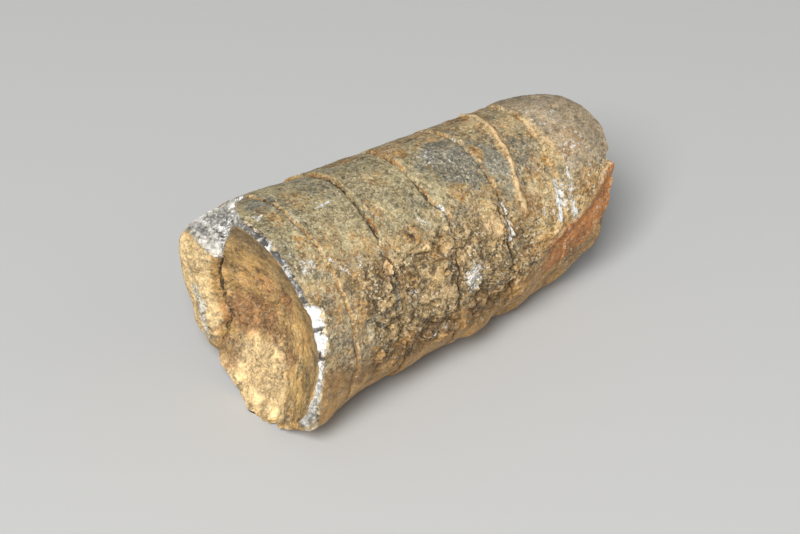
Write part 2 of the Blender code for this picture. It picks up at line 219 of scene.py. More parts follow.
SUTURE_4 = (
    (-90, 35.6), (-16, 35.3), (2, 35.6), (18, 35.1), (47, 34.7), (74, 34.1), (110, 34.4), (180, 35.2),
)
VEIN = (
    (-60, 43.6), (-16, 42.3), (1, 41.5), (16, 40.4), (29, 39.5), (38, 38.6), (47, 37.9), (75, 37.4),
    (120, 38.2), (180, 41), (-110, 43),
)
SUTURE_5 = (
    (-60, 47.6), (2, 46.8), (22, 46), (40, 45.1), (75, 44.3), (120, 43.8), (180, 45.5), (-120, 47),
)
BAR_LINES = (
    (0, FRONT_RIM), (5, SUTURE_1), (14.5, SUTURE_2), (24.8, SUTURE_3), (35, SUTURE_4), (40.5, VEIN),
    (46, SUTURE_5), (BAR_LENGTH, BACK_EDGE),
)
# Sutures: line, groove depth, height of the step behind it
SUTURES = (
    (SUTURE_1, 0.12, 0.08), (SUTURE_2, 0.45, 0.42), (SUTURE_3, 0.32, 0.18), (SUTURE_4, 0.25, 0.1),
    (SUTURE_5, 0.1, 0.14),
)

# Knobs and pits: x, turn, half length, half turn, height or depth
KNOBS = (
    (10.6, 61, 2.3, 9, 0.75), (10.2, 66, 4.6, 14, 0.45), (18.3, 45, 1.9, 7, 0.55),
    (21, 66, 3.2, 12, 0.5), (17.5, 92, 3, 11, 0.45), (28.5, 58, 2.2, 8, 0.4), (31, 84, 3.4, 12, 0.5),
    (13, 114, 2.6, 9, 0.45), (28.8, 125, 3.2, 11, 0.6), (24.5, 106, 2.6, 8, 0.4),
    (5.5, 92, 2.8, 10, 0.35), (41.6, -41, 1.3, 4, 0.35), (8, -100, 4, 14, 0.5), (22, -75, 3.6, 12, 0.45),
    (31, -115, 4.4, 15, 0.55), (45, -80, 3.8, 14, 0.45), (19, -145, 3.4, 11, 0.45),
    (38, 140, 3.6, 10, 0.4), (30, 150, 3, 8, 0.35), (53, 8, 6, 38, 0.5),
)
PITS = (
    (18.6, 41, 0.9, 3.5, 0.55), (35, 58, 0.8, 4, 0.35), (12, 84, 1.4, 5, 0.45), (27.5, 97, 1.5, 4, 0.5),
    (22, 88, 1.3, 5, 0.4), (33.5, 100, 1.8, 5, 0.45), (46.5, 60, 1.3, 5, 0.35), (7.5, 76, 1.2, 4, 0.35),
    (35.5, 127, 3.2, 13, 0.6), (44.5, 126, 3, 10, 0.4), (27, -44, 5, 12, 0.35), (44.5, -43, 6, 14, 0.4),
    (14, -70, 1.6, 6, 0.45), (37, -66, 2, 7, 0.45), (27, -140, 2, 7, 0.45), (48, -125, 2.2, 8, 0.5),
)
# Swells of the shell behind the rim: turn, half turn, reach, height
RIM_SWELLS = ((-67, 17, 9, 1), (131, 15, 4.5, 1.3))
BACK_ROUNDING = ((-100, 0.9), (0, 0.7), (45, 0.4), (70, 0.1), (115, 0.1), (150, 0.8))
FLAKE_BORDER = ((36, 96), (38, 90), (42.5, 82.5), (46, 77.5), (49, 72), (51.5, 66), (53.5, 59), (57, 53))

# Small ridges and chipped edges on the skin: (x, turn) points along each, half width, height
RIDGES = (
    (((11.2, 47), (12.6, 54), (12.7, 62), (12.5, 70), (11.2, 71), (10.2, 66)), 0.34, 0.42),
    (((15, 53), (14.5, 62), (14.1, 70), (12.4, 73)), 0.32, 0.34),
    (((18.1, 40), (19.5, 39), (20.3, 45), (18.2, 49), (16.4, 48), (16.6, 42), (18.1, 40)), 0.34, 0.36),
    (((25.8, 97), (27.3, 95), (26.9, 105)), 0.32, 0.34),
    (((38.9, 78), (41.3, 79), (43.4, 75)), 0.3, 0.4), (((9, 50), (8.2, 60), (8.6, 68)), 0.3, 0.3),
    (((21.4, 58), (23, 66), (22, 74)), 0.34, 0.3), (((29.6, 60), (31.4, 66), (31, 73)), 0.34, 0.26),
    (((17, 76), (19.4, 80), (20.6, 88)), 0.34, 0.3), (((6.2, 84), (8.8, 88), (10.2, 95)), 0.32, 0.26),
    (((37.4, 66), (39.8, 70), (41, 69)), 0.3, 0.24),
)
# Upper border of the crust: the crust stands above the shell behind and below this line
CRUST_BORDER = ((13.9, 48), (11.2, 47), (6.9, 53), (5, 58), (3.3, 69), (3.9, 81), (5.9, 108))

# Patches of colour on the skin: x, turn, half length, half turn, strength
WHITE_SPOTS = (
    (26.6, 80, 2.3, 10, 0.6), (34.6, 50, 0.3, 7, 0.55), (34.4, 64, 0.4, 9, 0.62),
    (42.4, 66, 0.7, 3, 0.6), (45, 60, 2.4, 14, 0.36), (40.9, 63, 0.4, 6, 0.56), (1, 23, 1.1, 9, 0.26),
    (25.2, 38, 0.35, 4, 0.7), (28.6, 5, 2.4, 9, 0.34), (5.6, 8, 0.9, 5, 0.36), (9.4, 44, 1, 3, 0.36),
    (26.5, -14, 1.6, 7, 0.32), (31, 96, 2.4, 8, 0.28), (20.5, 104, 2.2, 7, 0.28), (11, 97, 1.8, 7, 0.24),
    (16.5, 75, 1.6, 7, 0.24), (50, 35, 3.5, 12, 0.3), (50, 10, 3.5, 18, 0.27), (33, 16, 2.4, 16, 0.24),
    (29.6, 5, 2, 9, 0.28), (38, 30, 2.4, 12, 0.18), (2.2, 37, 1.3, 5, 0.44), (2.4, 48, 1.6, 8, 0.2),
    (8, 78, 1.4, 6, 0.2), (22.5, 70, 2, 8, 0.2), (4, -110, 2.4, 12, 0.36), (36, -95, 2.6, 10, 0.36),
    (22, -60, 1.6, 7, 0.32), (48, -150, 3, 12, 0.32),
)
OCHRE_SPOTS = (
    (26.3, -14, 2.2, 16, 0.8), (15.8, 66, 1.6, 12, 0.7), (7.4, 66, 2.2, 8, 0.7), (19.2, 43, 2, 7, 0.7),
    (39, 83, 3.6, 8, 0.95), (22, 60, 3, 12, 0.4), (38.8, 56, 2.2, 9, 0.9), (44.8, 78, 3, 5, 0.8),
    (36.3, 14, 1.3, 7, 0.8), (3.4, 62, 1.8, 10, 0.5), (30, 104, 5, 10, 0.6), (3, 4, 1.6, 12, 0.5),
    (20, -100, 6, 18, 0.6), (44, -110, 5, 16, 0.6), (12.5, 55, 1.6, 8, 0.6), (8, 24, 2.4, 10, 0.35),
    (44, 34, 2.2, 12, 0.5), (21, -26, 3.6, 9, 0.7), (42, -24, 3.6, 9, 0.7), (29, 34, 2.2, 8, 0.5),
    (11, 36, 3, 9, 0.5), (4, 26, 2.6, 9, 0.5), (34.5, 66, 3, 9, 0.5), (8.4, -2, 2.6, 12, 0.45),
    (20, 4, 2, 12, 0.4), (16, 22, 1.2, 14, 0.45), (50, 32, 4, 14, 0.4), (50.5, 60, 4, 14, 0.55),
    (32.6, 55, 2.4, 9, 0.45), (6, 34, 5, 14, 0.36), (6, 54, 5, 12, 0.4), (28.6, 54, 2.4, 8, 0.3),
)
# Brown patches; those on the lower flank, turns 82 to 103, are painted shade where the underside turns
# away from the light
BROWN_AND_PAINTED_SHADE_SPOTS = (
    (3, 98, 4.5, 16, 0.75), (9, 103, 4, 11, 0.55), (22, 102, 5, 9, 0.6), (28, 101, 4, 9, 0.85),
    (44, 102, 8, 11, 0.75), (38.2, 55, 2.6, 10, 0.9), (50, 62, 4, 18, 0.55), (9, 50, 3, 9, 0.35),
    (3.6, 82, 4, 12, 0.45), (6, 30, 4.5, 9, 0.32), (28, -22, 6, 8, 0.5), (44, -22, 7, 8, 0.4),
    (32, 56, 1.6, 7, 0.35), (50, 30, 4, 12, 0.25),
)
CREAM_SPOTS = (
    (32, 56, 2.6, 9, 0.55), (24, 58, 1.6, 6, 0.45), (21.5, 80, 2.4, 7, 0.42), (46.9, 20, 0.9, 20, 0.55),
    (43.6, 4, 2, 9, 0.35), (28, 50, 1.6, 6, 0.4), (18, 30, 2, 8, 0.32), (31, 99, 2.4, 5, 0.4),
    (18, 78, 2, 6, 0.36), (13.2, 53, 1.4, 6, 0.38), (49, 4, 2.4, 12, 0.25), (26, 64, 1.4, 5, 0.36),
)
GREY_SPOTS = (
    (32.2, 14, 4.4, 26, 0.84), (37.4, 24, 2.6, 24, 0.84), (42.6, 26, 1.8, 18, 0.62),
    (28.4, 22, 2.2, 12, 0.42), (4, -9, 3.4, 14, 0.64), (13, -10, 3.6, 22, 0.44), (20, -24, 6, 14, 0.4),
    (16.8, 34, 1.4, 12, 0.4), (13, 62, 0.9, 22, 0.56), (35.6, 74, 1.2, 12, 0.5), (52, -12, 4, 24, 0.32),
    (9.5, 33, 3, 14, 0.28), (33, -60, 8, 24, 0.56), (10, -130, 7, 20, 0.48), (49.4, 46, 1.8, 10, 0.4),
    (1.8, 38, 1.8, 16, 0.36), (27.6, 26, 2, 10, 0.4), (17.6, 12, 2.6, 14, 0.24), (3.4, 86, 4, 18, 0.5),
    (4, 62, 4, 16, 0.48), (9, 74, 3.4, 20, 0.42), (49.6, 52, 3, 10, 0.46), (53, 34, 3, 16, 0.36),
    (27, 12, 1.4, 12, 0.45), (6, 44, 1.6, 12, 0.36), (22.6, 28, 1.6, 10, 0.4),
)
DARK_SPOTS = (
    (5.2, -8, 0.9, 6, 0.6), (4.6, 1, 0.5, 3, 0.5), (24.2, 29, 0.2, 4, 0.7), (24.3, 70, 0.3, 8, 0.8),
    (18.4, 44, 0.8, 3, 0.55), (33.5, 57, 0.3, 12, 0.6), (37.4, 91, 1.2, 1.2, 0.9),
    (14.1, 58, 0.3, 9, 0.6), (15.2, 108, 0.4, 7, 0.7), (40.4, 87, 1.8, 0.9, 0.6),
    (33.7, 76, 0.3, 9, 0.8), (23.6, 84, 0.3, 6, 0.9),
)
# Places where the grain of the skin is calmer
CALM_SPOTS = ((38.5, 56, 3.2, 13, 0.8), (28, 101, 5, 9, 0.8))
# Strings of white crystals: (x, turn) points along each, half width, strength
WHITE_STRINGS = (
    (((44.6, 49.5), (44.3, 58), (43.4, 72)), 0.55, 0.95),
    (((47.3, 45), (46.7, 58), (46.2, 66)), 0.36, 0.75), (((46.2, 65), (45.9, 73)), 0.55, 0.95),
    (((9.2, 9), (10.6, 8.2), (12.1, 7.4)), 0.26, 0.85), (((10, 5), (10.6, 11)), 0.22, 0.75),
    (((0.8, 2.8), (2.1, 0)), 0.24, 0.85), (((1, -1.6), (1.7, 4)), 0.22, 0.8),
    (((5.6, 38), (7.2, 47)), 0.3, 0.55), (((20.6, 34), (21.8, 40)), 0.24, 0.6),
)

# Stripes of colour along the sutures: which suture, how far behind it, half width, strength and the
# least share of it where the stripe is broken up
OCHRE_STRIPES = (
    (0, 0.08, 0.2, 0.95, 0.8), (1, 0.25, 0.25, 0.8, 0.35), (2, 0.25, 0.28, 0.8, 0.35),
    (3, 0.2, 0.22, 0.7, 0.35), (4, 0, 0.9, 0.7, 0.35),
)
BROWN_LINES = (
    (0, 0.02, 0.1, 0.55, 0.85), (1, 0.12, 0.13, 0.74, 0.5), (2, 0.09, 0.13, 0.72, 0.5),
    (3, 0.1, 0.11, 0.6, 0.5), (4, 0, 0.22, 0.45, 0.5),
)
# Painted highlight: cream bits along the lip behind each suture, where its edge catches the light
CREAM_HIGHLIGHT_LINES = (
    (0, 0.36, 0.18, 0.62, 0.55), (1, 0.6, 0.18, 0.62, 0), (2, 0.5, 0.18, 0.62, 0),
    (3, 0.45, 0.18, 0.62, 0),
)
# Painted shade: dark lines in the groove of each suture, where the crack lies in shadow
CRACK_SHADE_LINES = (
    (0, -0.05, 0.1, 0.55, 0.2), (2, -0.05, 0.12, 0.95, 0.2), (3, -0.05, 0.12, 0.8, 0.2),
    (4, -0.05, 0.1, 0.4, 0.2),
)
CRUST_CRACK_SHADE_LINES = ((1, -0.05, 0.14, 1, 0.2),)
# White threads beside the sutures: which suture, how far behind it, first and last turn
WHITE_THREADS = ((0, -0.05, 22, 56), (3, 0.1, -25, 10), (2, 0.05, 24, 46))
THREAD_WIDTH = 0.14
THREAD_END = 8.0

# Patches in the hollow end: right, up, half width, half height, strength
HOLLOW_RED = (
    (-5, -4.4, 5.8, 3.4, 1), (2.6, -7.2, 2, 1.6, 1), (-0.1, -0.1, 1.5, 1.7, 1),
    (-7.4, -10.8, 2, 3.2, 0.7), (-4.6, 1.2, 3.4, 2.4, 0.6), (4.8, -4, 2.2, 2.4, 0.45),
)
# Partly painted light: pale and cream rock low in the hollow. This is partly the rock's own colour and
# partly the brightness where the bowl faces up
HOLLOW_PALE_AND_PAINTED_LIGHT = ((-2.4, -9.6, 5.6, 3.6, 1), (-0.5, -12.4, 8, 4.2, 1), (3.4, -6.6, 3, 2, 0.5))
HOLLOW_CREAM_AND_PAINTED_LIGHT = ((-1.6, -7.8, 3.6, 2.4, 0.56), (-0.8, -11.4, 6.4, 3.2, 0.8), (-3.6, -8.6, 2.6, 2.2, 0.46))
# Painted shade: the darker top of the hollow, where the bowl's ceiling faces down away from the light;
# it is carried by the olive patch
HOLLOW_PAINTED_SHADE = ((-3, 9.5, 6, 4.2, 1), (2.5, 4.6, 7, 4.8, 0.9), (8.6, -3, 2.6, 7, 0.7))
HOLLOW_YELLOW = ((5.4, -4.8, 1.8, 3.4, 0.45), (4.6, -9.6, 2.6, 2.6, 0.35), (8.5, -9, 2, 3, 0.4))
HOLLOW_SPOTS = {
    "red": HOLLOW_RED, "pale": HOLLOW_PALE_AND_PAINTED_LIGHT, "vein": HOLLOW_CREAM_AND_PAINTED_LIGHT, "olive": HOLLOW_PAINTED_SHADE,
    "ochre": HOLLOW_YELLOW,
}
# Low ridges in the hollow: (right, up) points along each, half width, height
HOLLOW_RIDGES = (
    (((-9.4, -3.6), (-6.6, -4.6), (-4.4, -4.2), (-2.6, -5.4)), 0.8, 0.35),
    (((-3.4, -9.4), (-0.8, -8.8), (1.6, -9.6), (3.6, -8.8)), 0.6, 0.4),
    (((-6.8, -12.4), (-4.2, -11.6), (-2.2, -12.6)), 0.6, 0.35),
    (((2.4, -5.4), (4.8, -6.6), (5.6, -8.8)), 0.5, 0.3),
    (((-1.6, -12.8), (1, -11.6), (4, -12.2)), 0.6, 0.35),
)

# Names of the point attributes that carry the patches to the materials
PATCHES = (
    "grey", "ochre", "red", "white", "dark", "crust", "pale", "olive", "tone", "dirt", "vein", "line",
    "brown", "calm",
)

Crumbs = namedtuple("Crumbs", "dome lift crack")


def smooth(value, low, high):
    """0 below low, 1 above high, with an eased climb between."""
    t = np.clip((value - low) / (high - low), 0.0, 1.0)
    return t * t * (3.0 - 2.0 * t)


def fall(value, low, high):
    """1 below low, 0 above high, with an eased fall between."""
    return 1.0 - smooth(value, low, high)


def within(value, start, full_from, full_to, end):
    """1 from full_from to full_to, easing down to 0 at start and at end."""
    return smooth(value, start, full_from) * fall(value, full_to, end)


def bell(away, width):
    """1 where away is 0, falling softly to nothing about two widths off."""
    return np.exp(-(away / width) ** 2)


def around(turn, pairs):
    """The values at some turns of a closed line given by (turn, value) pairs."""
    ordered = sorted(pairs)
    turns = np.array([t for t, v in ordered] + [ordered[0][0] + 360.0])
    values = np.array([v for t, v in ordered] + [ordered[0][1]])
    wrapped = (turn - turns[0]) % 360.0 + turns[0]
    before = np.clip(np.searchsorted(turns, wrapped, side="right") - 1, 0, len(turns) - 2)
    share = (wrapped - turns[before]) / (turns[before + 1] - turns[before])
    return values[before] + (values[before + 1] - values[before]) * smooth(share, 0.0, 1.0)


def turn_between(turn, centre):
    """The signed angle from centre to turn, the short way round."""
    return (turn - centre + 180.0) % 360.0 - 180.0


def far_from(turn, middle, near, far):
    """0 within near degrees of a middle turn, 1 beyond far degrees of it."""
    return smooth(np.abs(turn_between(turn, middle)), near, far)


def cone_radius(x):
    """The plain shell's radius, which shrinks towards the tip."""
    return RIM_RADIUS - TAPER * x


def places_at(x, turn, radius=PLACES_RADIUS):
    """Points at a radius and a turn, where noise is read so that it joins round the shell."""
    arm = np.radians(turn)
    return np.stack(np.broadcast_arrays(x, radius * np.sin(arm), radius * np.cos(arm)), axis=-1)


def grain(places, size, seed):
    """Smooth noise from -1 to 1 at each place, with lumps of about the given size."""
    offset = Vector((seed, seed * 1.7, -seed))
    return np.array([noise.noise(Vector(place) / size + offset) for place in places])


def grains(places, *layers):
    """Layers of smooth noise added up, each given as (height, size, seed)."""
    return sum(height * grain(places, size, seed) for height, size, seed in layers)


def clumps(places, size, seed, low, high):
    """Ragged clumps: 0 where the noise is below low, 1 where it is above high."""
    return smooth(grain(places, size, seed), low, high)


def crumbs(places, size, seed, crack):
    """Packed crumbs of about the given size: each one's dome, its lift, and the crack round it."""
    offset = Vector((seed, seed * 1.3, -seed))
    found = np.empty((len(places), 3))
    for index, place in enumerate(places):
        spot = Vector(place) / size + offset
        spot += CRUMB_BEND * noise.noise_vector(spot * CRUMB_BEND_SCALE)
        distances, points = noise.voronoi(spot)
        found[index] = (distances[0], distances[1] - distances[0], noise.cell(points[0] * CRUMB_TONES))
    return Crumbs(CRUMB_DOME - found[:, 0], found[:, 2] - 0.5, fall(found[:, 1], 0.0, crack))


def from_spot(x, turn, spot):
    """How far each point lies from a spot's middle: 1 at the spot's edge."""
    centre_x, centre_turn, half_length, half_turn = spot[:4]
    return np.hypot((x - centre_x) / half_length, turn_between(turn, centre_turn) / half_turn)


def mound(x, turn, spot):
    """A flat-topped bump with the spot's height at its middle and nothing at its edge."""
    return spot[4] * fall(from_spot(x, turn, spot), MOUND_TOP, 1.0)


def patches(x, turn, spots, ragged):
    """The strongest of several patches, with edges made ragged by noise."""
    strength = np.zeros_like(x)
    for spot in spots:
        away = from_spot(x, turn, spot) + PATCH_RAGS * ragged
        strength = np.maximum(strength, spot[4] * fall(away, *PATCH_EDGE))
    return strength


def shell_x(bar_x, turn):
    """Where the bar's rings cross the fossil: the rings bend to follow the sutures."""
    rim = around(turn, FRONT_RIM)
    x = np.zeros_like(bar_x)
    spots = []
    for place, line in BAR_LINES:
        line_x = around(turn, line)
        if line is SUTURE_1:
            line_x = np.maximum(line_x, rim + RIM_MARGIN)
        spots.append((place, line_x))
    for (b0, x0), (b1, x1) in zip(spots, spots[1:]):
        inside = (bar_x >= b0 - 1e-4) & (bar_x <= b1 + 1e-4)
        x = np.where(inside, x0 + (x1 - x0) * (bar_x - b0) / (b1 - b0), x)
    return x


def crusted(x, turn):
    """1 in the knobbly crusted patch on the right flank, 0 on the smoother shell."""
    return within(x, *CRUST_LENGTH) * (1.0 - far_from(turn, *CRUST_SIDE))


def distance_to_line(first, second, line):
    """How far each point (first, second) lies from a line of such points."""
    nearest = np.full_like(first, FAR_OFF)
    for (first0, second0), (first1, second1) in zip(line, line[1:]):
        run, rise = first1 - first0, second1 - second0
        share = ((first - first0) * run + (second - second0) * rise) / (run ** 2 + rise ** 2)
        share = np.clip(share, 0.0, 1.0)
        away = np.hypot(first - first0 - share * run, second - second0 - share * rise)
        nearest = np.minimum(nearest, away)
    return nearest


def distance_on_skin(x, turn, line):
    """How far each point lies from a line of (x, turn) points, in millimetres over the skin."""
    laid = [(x0, math.radians(turn0) * cone_radius(x0)) for x0, turn0 in line]
    return distance_to_line(x, np.radians(turn) * cone_radius(x), laid)


def below_flake_border(x, turn):
    """How far a point lies below the upper border of the lost flake, in millimetres round the shell."""
    border_x, border_turn = zip(*FLAKE_BORDER)
    outside = border_turn[0] + FLAKE_OUTSIDE
    border = np.interp(x, border_x, border_turn, left=outside, right=outside)
    return np.radians(turn_between(turn, border)) * cone_radius(x)


def flake_loss(x, turn):
    """How deep the lost flake lies under the old skin."""
    start = smooth(x, FLAKE_BORDER[0][0], FLAKE_BORDER[0][0] + FLAKE_START)
    loss = FLAKE_DEPTH * start * smooth(below_flake_border(x, turn), 0.0, FLAKE_STEP)
    return loss * fall(turn, *FLAKE_UNDERSIDE)


def wander(turn, seed):
    """The small side-steps of a line as it runs round the shell."""
    return grains(places_at(seed, turn), *WANDER_NOISE)


def past_line(x, turn, line, seed):
    """How far each point lies behind a line, the line taken with its small side-steps."""
    return x - around(turn, line) - wander(turn, seed)


def beside_vein(x, turn):
    """How far each point lies behind the middle of the raised vein."""
    return x - around(turn, VEIN) - VEIN_WANDER * wander(turn, VEIN_SEED)


def broad_relief(x, turn, places):
    """How far the skin stands above the plain cone: sutures, vein, knobs, pits and the lost flake."""
    crust = crusted(x, turn)
    height = grains(places, *BROAD_NOISE) + crust * grains(places, CRUST_NOISE)
    unevenness = 1.0 + 0.9 * grain(places, 4.0, 6.6)
    lip = LIP_HEIGHT * (1.0 + 3.0 * grain(places, 1.0, 3.9))
    for index, (line, depth, step) in enumerate(SUTURES):
        past = past_line(x, turn, line, index)
        if line is SUTURE_2:
            depth = depth * (1.0 - 0.65 * crust)
        height -= GROOVE_GAIN * depth * unevenness * bell(past + 0.05, GROOVE_WIDTH)
        height += step * (smooth(past, -0.1, 0.3) - STEP_MIDDLE) * np.exp(-np.abs(past) / STEP_FADE)
        height += step * lip * bell(past - LIP_PLACE, LIP_WIDTH)
    ridge = within(turn, *VEIN_TURNS) * bell(beside_vein(x, turn), VEIN_WIDTH)
    height += VEIN_HEIGHT * ridge * (1.0 + grains(places, *VEIN_NOISE))
    height += sum(mound(x, turn, knob) for knob in KNOBS) - sum(mound(x, turn, pit) for pit in PITS)
    for swell_turn, half_turn, reach, swell in RIM_SWELLS:
        height += swell * bell(turn_between(turn, swell_turn), half_turn) * bell(x, reach)
    height -= flake_loss(x, turn)
    behind = around(turn, BACK_EDGE) - x
    return height - around(turn, BACK_ROUNDING) * fall(behind, 0.0, ROUNDING_REACH) ** 2


def fine_relief(x, turn, places, settings):
    """Small roughness: packed crumbs and chipped ridges in the crust, faint growth lines elsewhere.

    Also gives how much darker the crevices and holes are, and the tone of each crumb, both from 0 to 1.
    """
    crust = crusted(x, turn)
    bare = 1.0 - crust
    rough = settings.skin_roughness / MM
    crumb = settings.crust_roughness / MM
    large, small = (crumbs(places, *kind) for kind in SKIN_CRUMBS)
    patchy = clumps(places, 4.2, 6.9, -0.25, 0.25)
    share = crust * (0.45 + 0.55 * patchy) + 0.16 * bare * patchy
    height = rough * grains(places, *SKIN_NOISE)
    height += share * crumb * (large.dome + 2.2 * large.lift - large.crack)
    packed = 0.6 * small.dome + 1.2 * small.lift - 0.7 * small.crack
    height += (0.4 + 0.6 * crust) * share * crumb * packed
    ridges = np.zeros_like(x)
    for line, half_width, ridge in RIDGES:
        away = distance_on_skin(x, turn, line) + 0.25 * grain(places, 1.1, 5.3)
        ridges = np.maximum(ridges, RIDGE_GAIN * ridge * bell(away, half_width))
    height += ridges * (1.0 + 0.5 * grain(places, 0.8, 3.1))
    border = distance_on_skin(x, turn, CRUST_BORDER) + 0.35 * grain(places, 1.2, 9.3)
    height += CRUST_STEP * bell(border, CRUST_STEP_WIDTH)
    height += WHITE_RELIEF * patches(x, turn, WHITE_SPOTS, grain(places, 1.0, 2.7))
    holes = clumps(places, 1.3, 9.9, 0.3, 0.55) * (0.15 + 0.85 * crust)
    height -= HOLE_DEPTH * crumb * holes
    growth = np.sin(2.0 * math.pi * x / GROWTH_SPACING + 2.0 * grain(places, 5.0, 3.3))
    height += 0.5 * rough * clumps(places, 6.0, 0.7, -0.1, 0.3) * bare * growth
    # Darker in the cracks between crumbs and in the holes
    dirt = share * (0.5 * large.crack + 0.25 * small.crack) + 0.45 * holes
    tone = 0.5 + share * (large.lift + 0.5 * small.lift) + 0.3 * grain(places, 2.6, 4.0)
    return height, np.clip(dirt, 0.0, 1.0), np.clip(tone, 0.0, 1.0)


def barrel_points(bar_x, turn, settings):
    """The shell's points, with the darkening in its crevices and the tone of its fine surface."""
    x = shell_x(bar_x, turn)
    places = places_at(x, turn)
    height = broad_relief(x, turn, places)
    above = far_from(turn, *UNDERSIDE)
    height = np.where(height > 0.0, height * above, height) * (0.25 + 0.75 * above)
    fine, dirt, tone = fine_relief(x, turn, places, settings)
    ragged = fall(x, *RAGGED_RIM) * far_from(turn, *RAGGED_SIDE)
    fine += ragged * grains(places, *RIM_NOISE)
    chips = 0.2 + 0.35 * far_from(turn, *LOWEST_RIM)
    x = x + ragged * (0.45 * grain(places, 2.2, 3.5) + chips * grain(places, 0.9, 7.1))
    return x, cone_radius(x) + height + above * fine, dirt, tone


def bowl_x(radius):
    """The septum's depth behind the plane of the rim."""
    hollow = BOWL_DEPTH * (1.0 - (radius / BOWL_RADIUS) ** 2)
    return hollow + SCAR_DEPTH * fall(radius, 0.4 * SCAR_RADIUS, SCAR_RADIUS)


def crack_share(turn):
    """How open the crack beside the lump is: wide above, closing downwards."""
    return within(turn, *LUMP_TURNS) * (0.3 + 0.7 * smooth(turn, *WIDE_CRACK_TURNS))


def scar_slit(right, up, width):
    """The dark slit of the tube scar, leaning to the right."""
    return bell(right + 0.25 - 0.35 * up, width) * bell(up + 0.1, 0.95)


def hollow_points(disc_radius, turn, edge_radius, edge_x, skin):
    """The septum inside its edge: x, radius, the darkening in its cracks, pores and slit, and tone."""
    inner = disc_radius / DISC_SEPTUM
    radius = disc_radius * (1.0 + (edge_radius / DISC_SEPTUM - 1.0) * inner ** 2)
    places = places_at(0.0, turn, radius)
    right, up = places[:, 1], places[:, 2]
    x = bowl_x(radius) + (edge_x - bowl_x(around(turn, SEPTUM_EDGE))) * inner ** 4
    beside_crack = smooth(disc_radius, DISC_SEPTUM - 0.5 * CRACK_WIDTH, DISC_SEPTUM)
    x += CRACK_DEPTH * crack_share(turn) * beside_crack
    x += smooth(radius, 2.0, 6.0) * fall(inner, 0.85, 1.0) * grains(places, *HOLLOW_NOISE)
    rougher = smooth(-up, -1.0, 4.0)
    x += (0.6 + rougher) * skin * grains(places, *HOLLOW_SKIN_NOISE)
    large, small = (crumbs(places, *kind) for kind in HOLLOW_CRUMBS)
    x -= rougher * (0.3 * large.dome - 0.12 * large.crack + 0.1 * small.lift)
    slit = scar_slit(right, up, 0.26)
    x += 0.7 * slit - 0.16 * bell(np.hypot(right + 0.2, up) - 1.25, 0.35)
    pores = 0.25 + 0.75 * bell(right + 3.5, 4.5) * bell(up + 6.5, 4.0)
    pores *= clumps(places, 0.75, 5.5, 0.28, 0.5)
    x += PORE_DEPTH * pores
    for line, half_width, ridge in HOLLOW_RIDGES:
        away = distance_to_line(right, up, line) + 0.25 * grain(places, 1.2, 6.6)
        x -= ridge * bell(away, half_width)
    dirt = 0.4 * rougher * large.crack + 0.8 * pores + slit
    tone = 0.5 + 0.45 * rougher * large.lift + 0.35 * small.lift + 0.3 * grain(places, 1.7, 2.2)
    return x, radius, dirt, tone


def band_points(disc_radius, turn, edge_radius, edge_x, rim, skin):
    """The rim from the septum's edge out to the shell: x, radius, the darkening in its cracks, and tone.
    """
    rim_x, rim_radius = rim
    share = np.clip((disc_radius - DISC_SEPTUM) / (RIM_RADIUS - DISC_SEPTUM), 0.0, 1.0)
    radius = edge_radius + (rim_radius - edge_radius) * share
    places = places_at(0.0, turn, radius)
    corner = within(turn, *CORNER_TURNS)
    x = edge_x + (rim_x - edge_x) * share
    x += CRACK_DEPTH * crack_share(turn) * fall(share, 0.0, CRACK_SHARE)
    x -= LUMP_HEIGHT * within(turn, *LUMP_TURNS) * np.sin(math.pi * share ** 0.6)
    x += (0.12 + 0.45 * corner) * np.sin(math.pi * share) * grain(places, 2.6, 2.2)
    calcite = np.maximum(corner, within(turn, *CALCITE_TURNS))
    large, small = (crumbs(places, *kind) for kind in BAND_CRUMBS)
    edge = np.clip(4.0 * share, 0.0, 1.0) * np.clip(4.0 * (1.0 - share), 0.0, 1.0)
    x -= edge * calcite * (0.55 * large.lift + 0.5 * large.dome + 0.35 * small.lift)
    rock = edge * (1.0 - calcite)
    x -= rock * (0.32 * large.dome + 0.3 * grain(places, 1.9, 4.9) + 0.12 * small.lift)
    x += skin * grains(places, *BAND_SKIN_NOISE)
    dirt = edge * large.crack * (0.25 + 0.55 * calcite)
    tone = 0.5 + 0.9 * large.lift * (0.2 + 0.8 * calcite) + 0.5 * small.lift * (0.4 + 0.6 * calcite)
    return x, radius, dirt, tone


def front_points(disc_radius, turn, settings):
    """The hollow end: the septum and the rim round it, with the darkening in their cracks and their
    tone.
    """
    rim = barrel_points(np.zeros_like(turn), turn, settings)[:2]
    edge_radius = around(turn, SEPTUM_EDGE)
    edge_x = np.maximum(bowl_x(edge_radius), np.minimum(rim[0], 0.0) - EDGE_DROP)
    edge_radius = edge_radius + grains(places_at(0.0, turn, DISC_SEPTUM), *SEPTUM_EDGE_NOISE)
    skin = settings.skin_roughness / MM
    hollow = hollow_points(disc_radius, turn, edge_radius, edge_x, skin)
    band = band_points(disc_radius, turn, edge_radius, edge_x, rim, skin)
    x, radius, dirt, tone = (np.where(disc_radius <= DISC_SEPTUM, *pair) for pair in zip(hollow, band))
    return x, radius, np.clip(dirt, 0.0, 1.0), np.clip(tone, 0.0, 1.0)


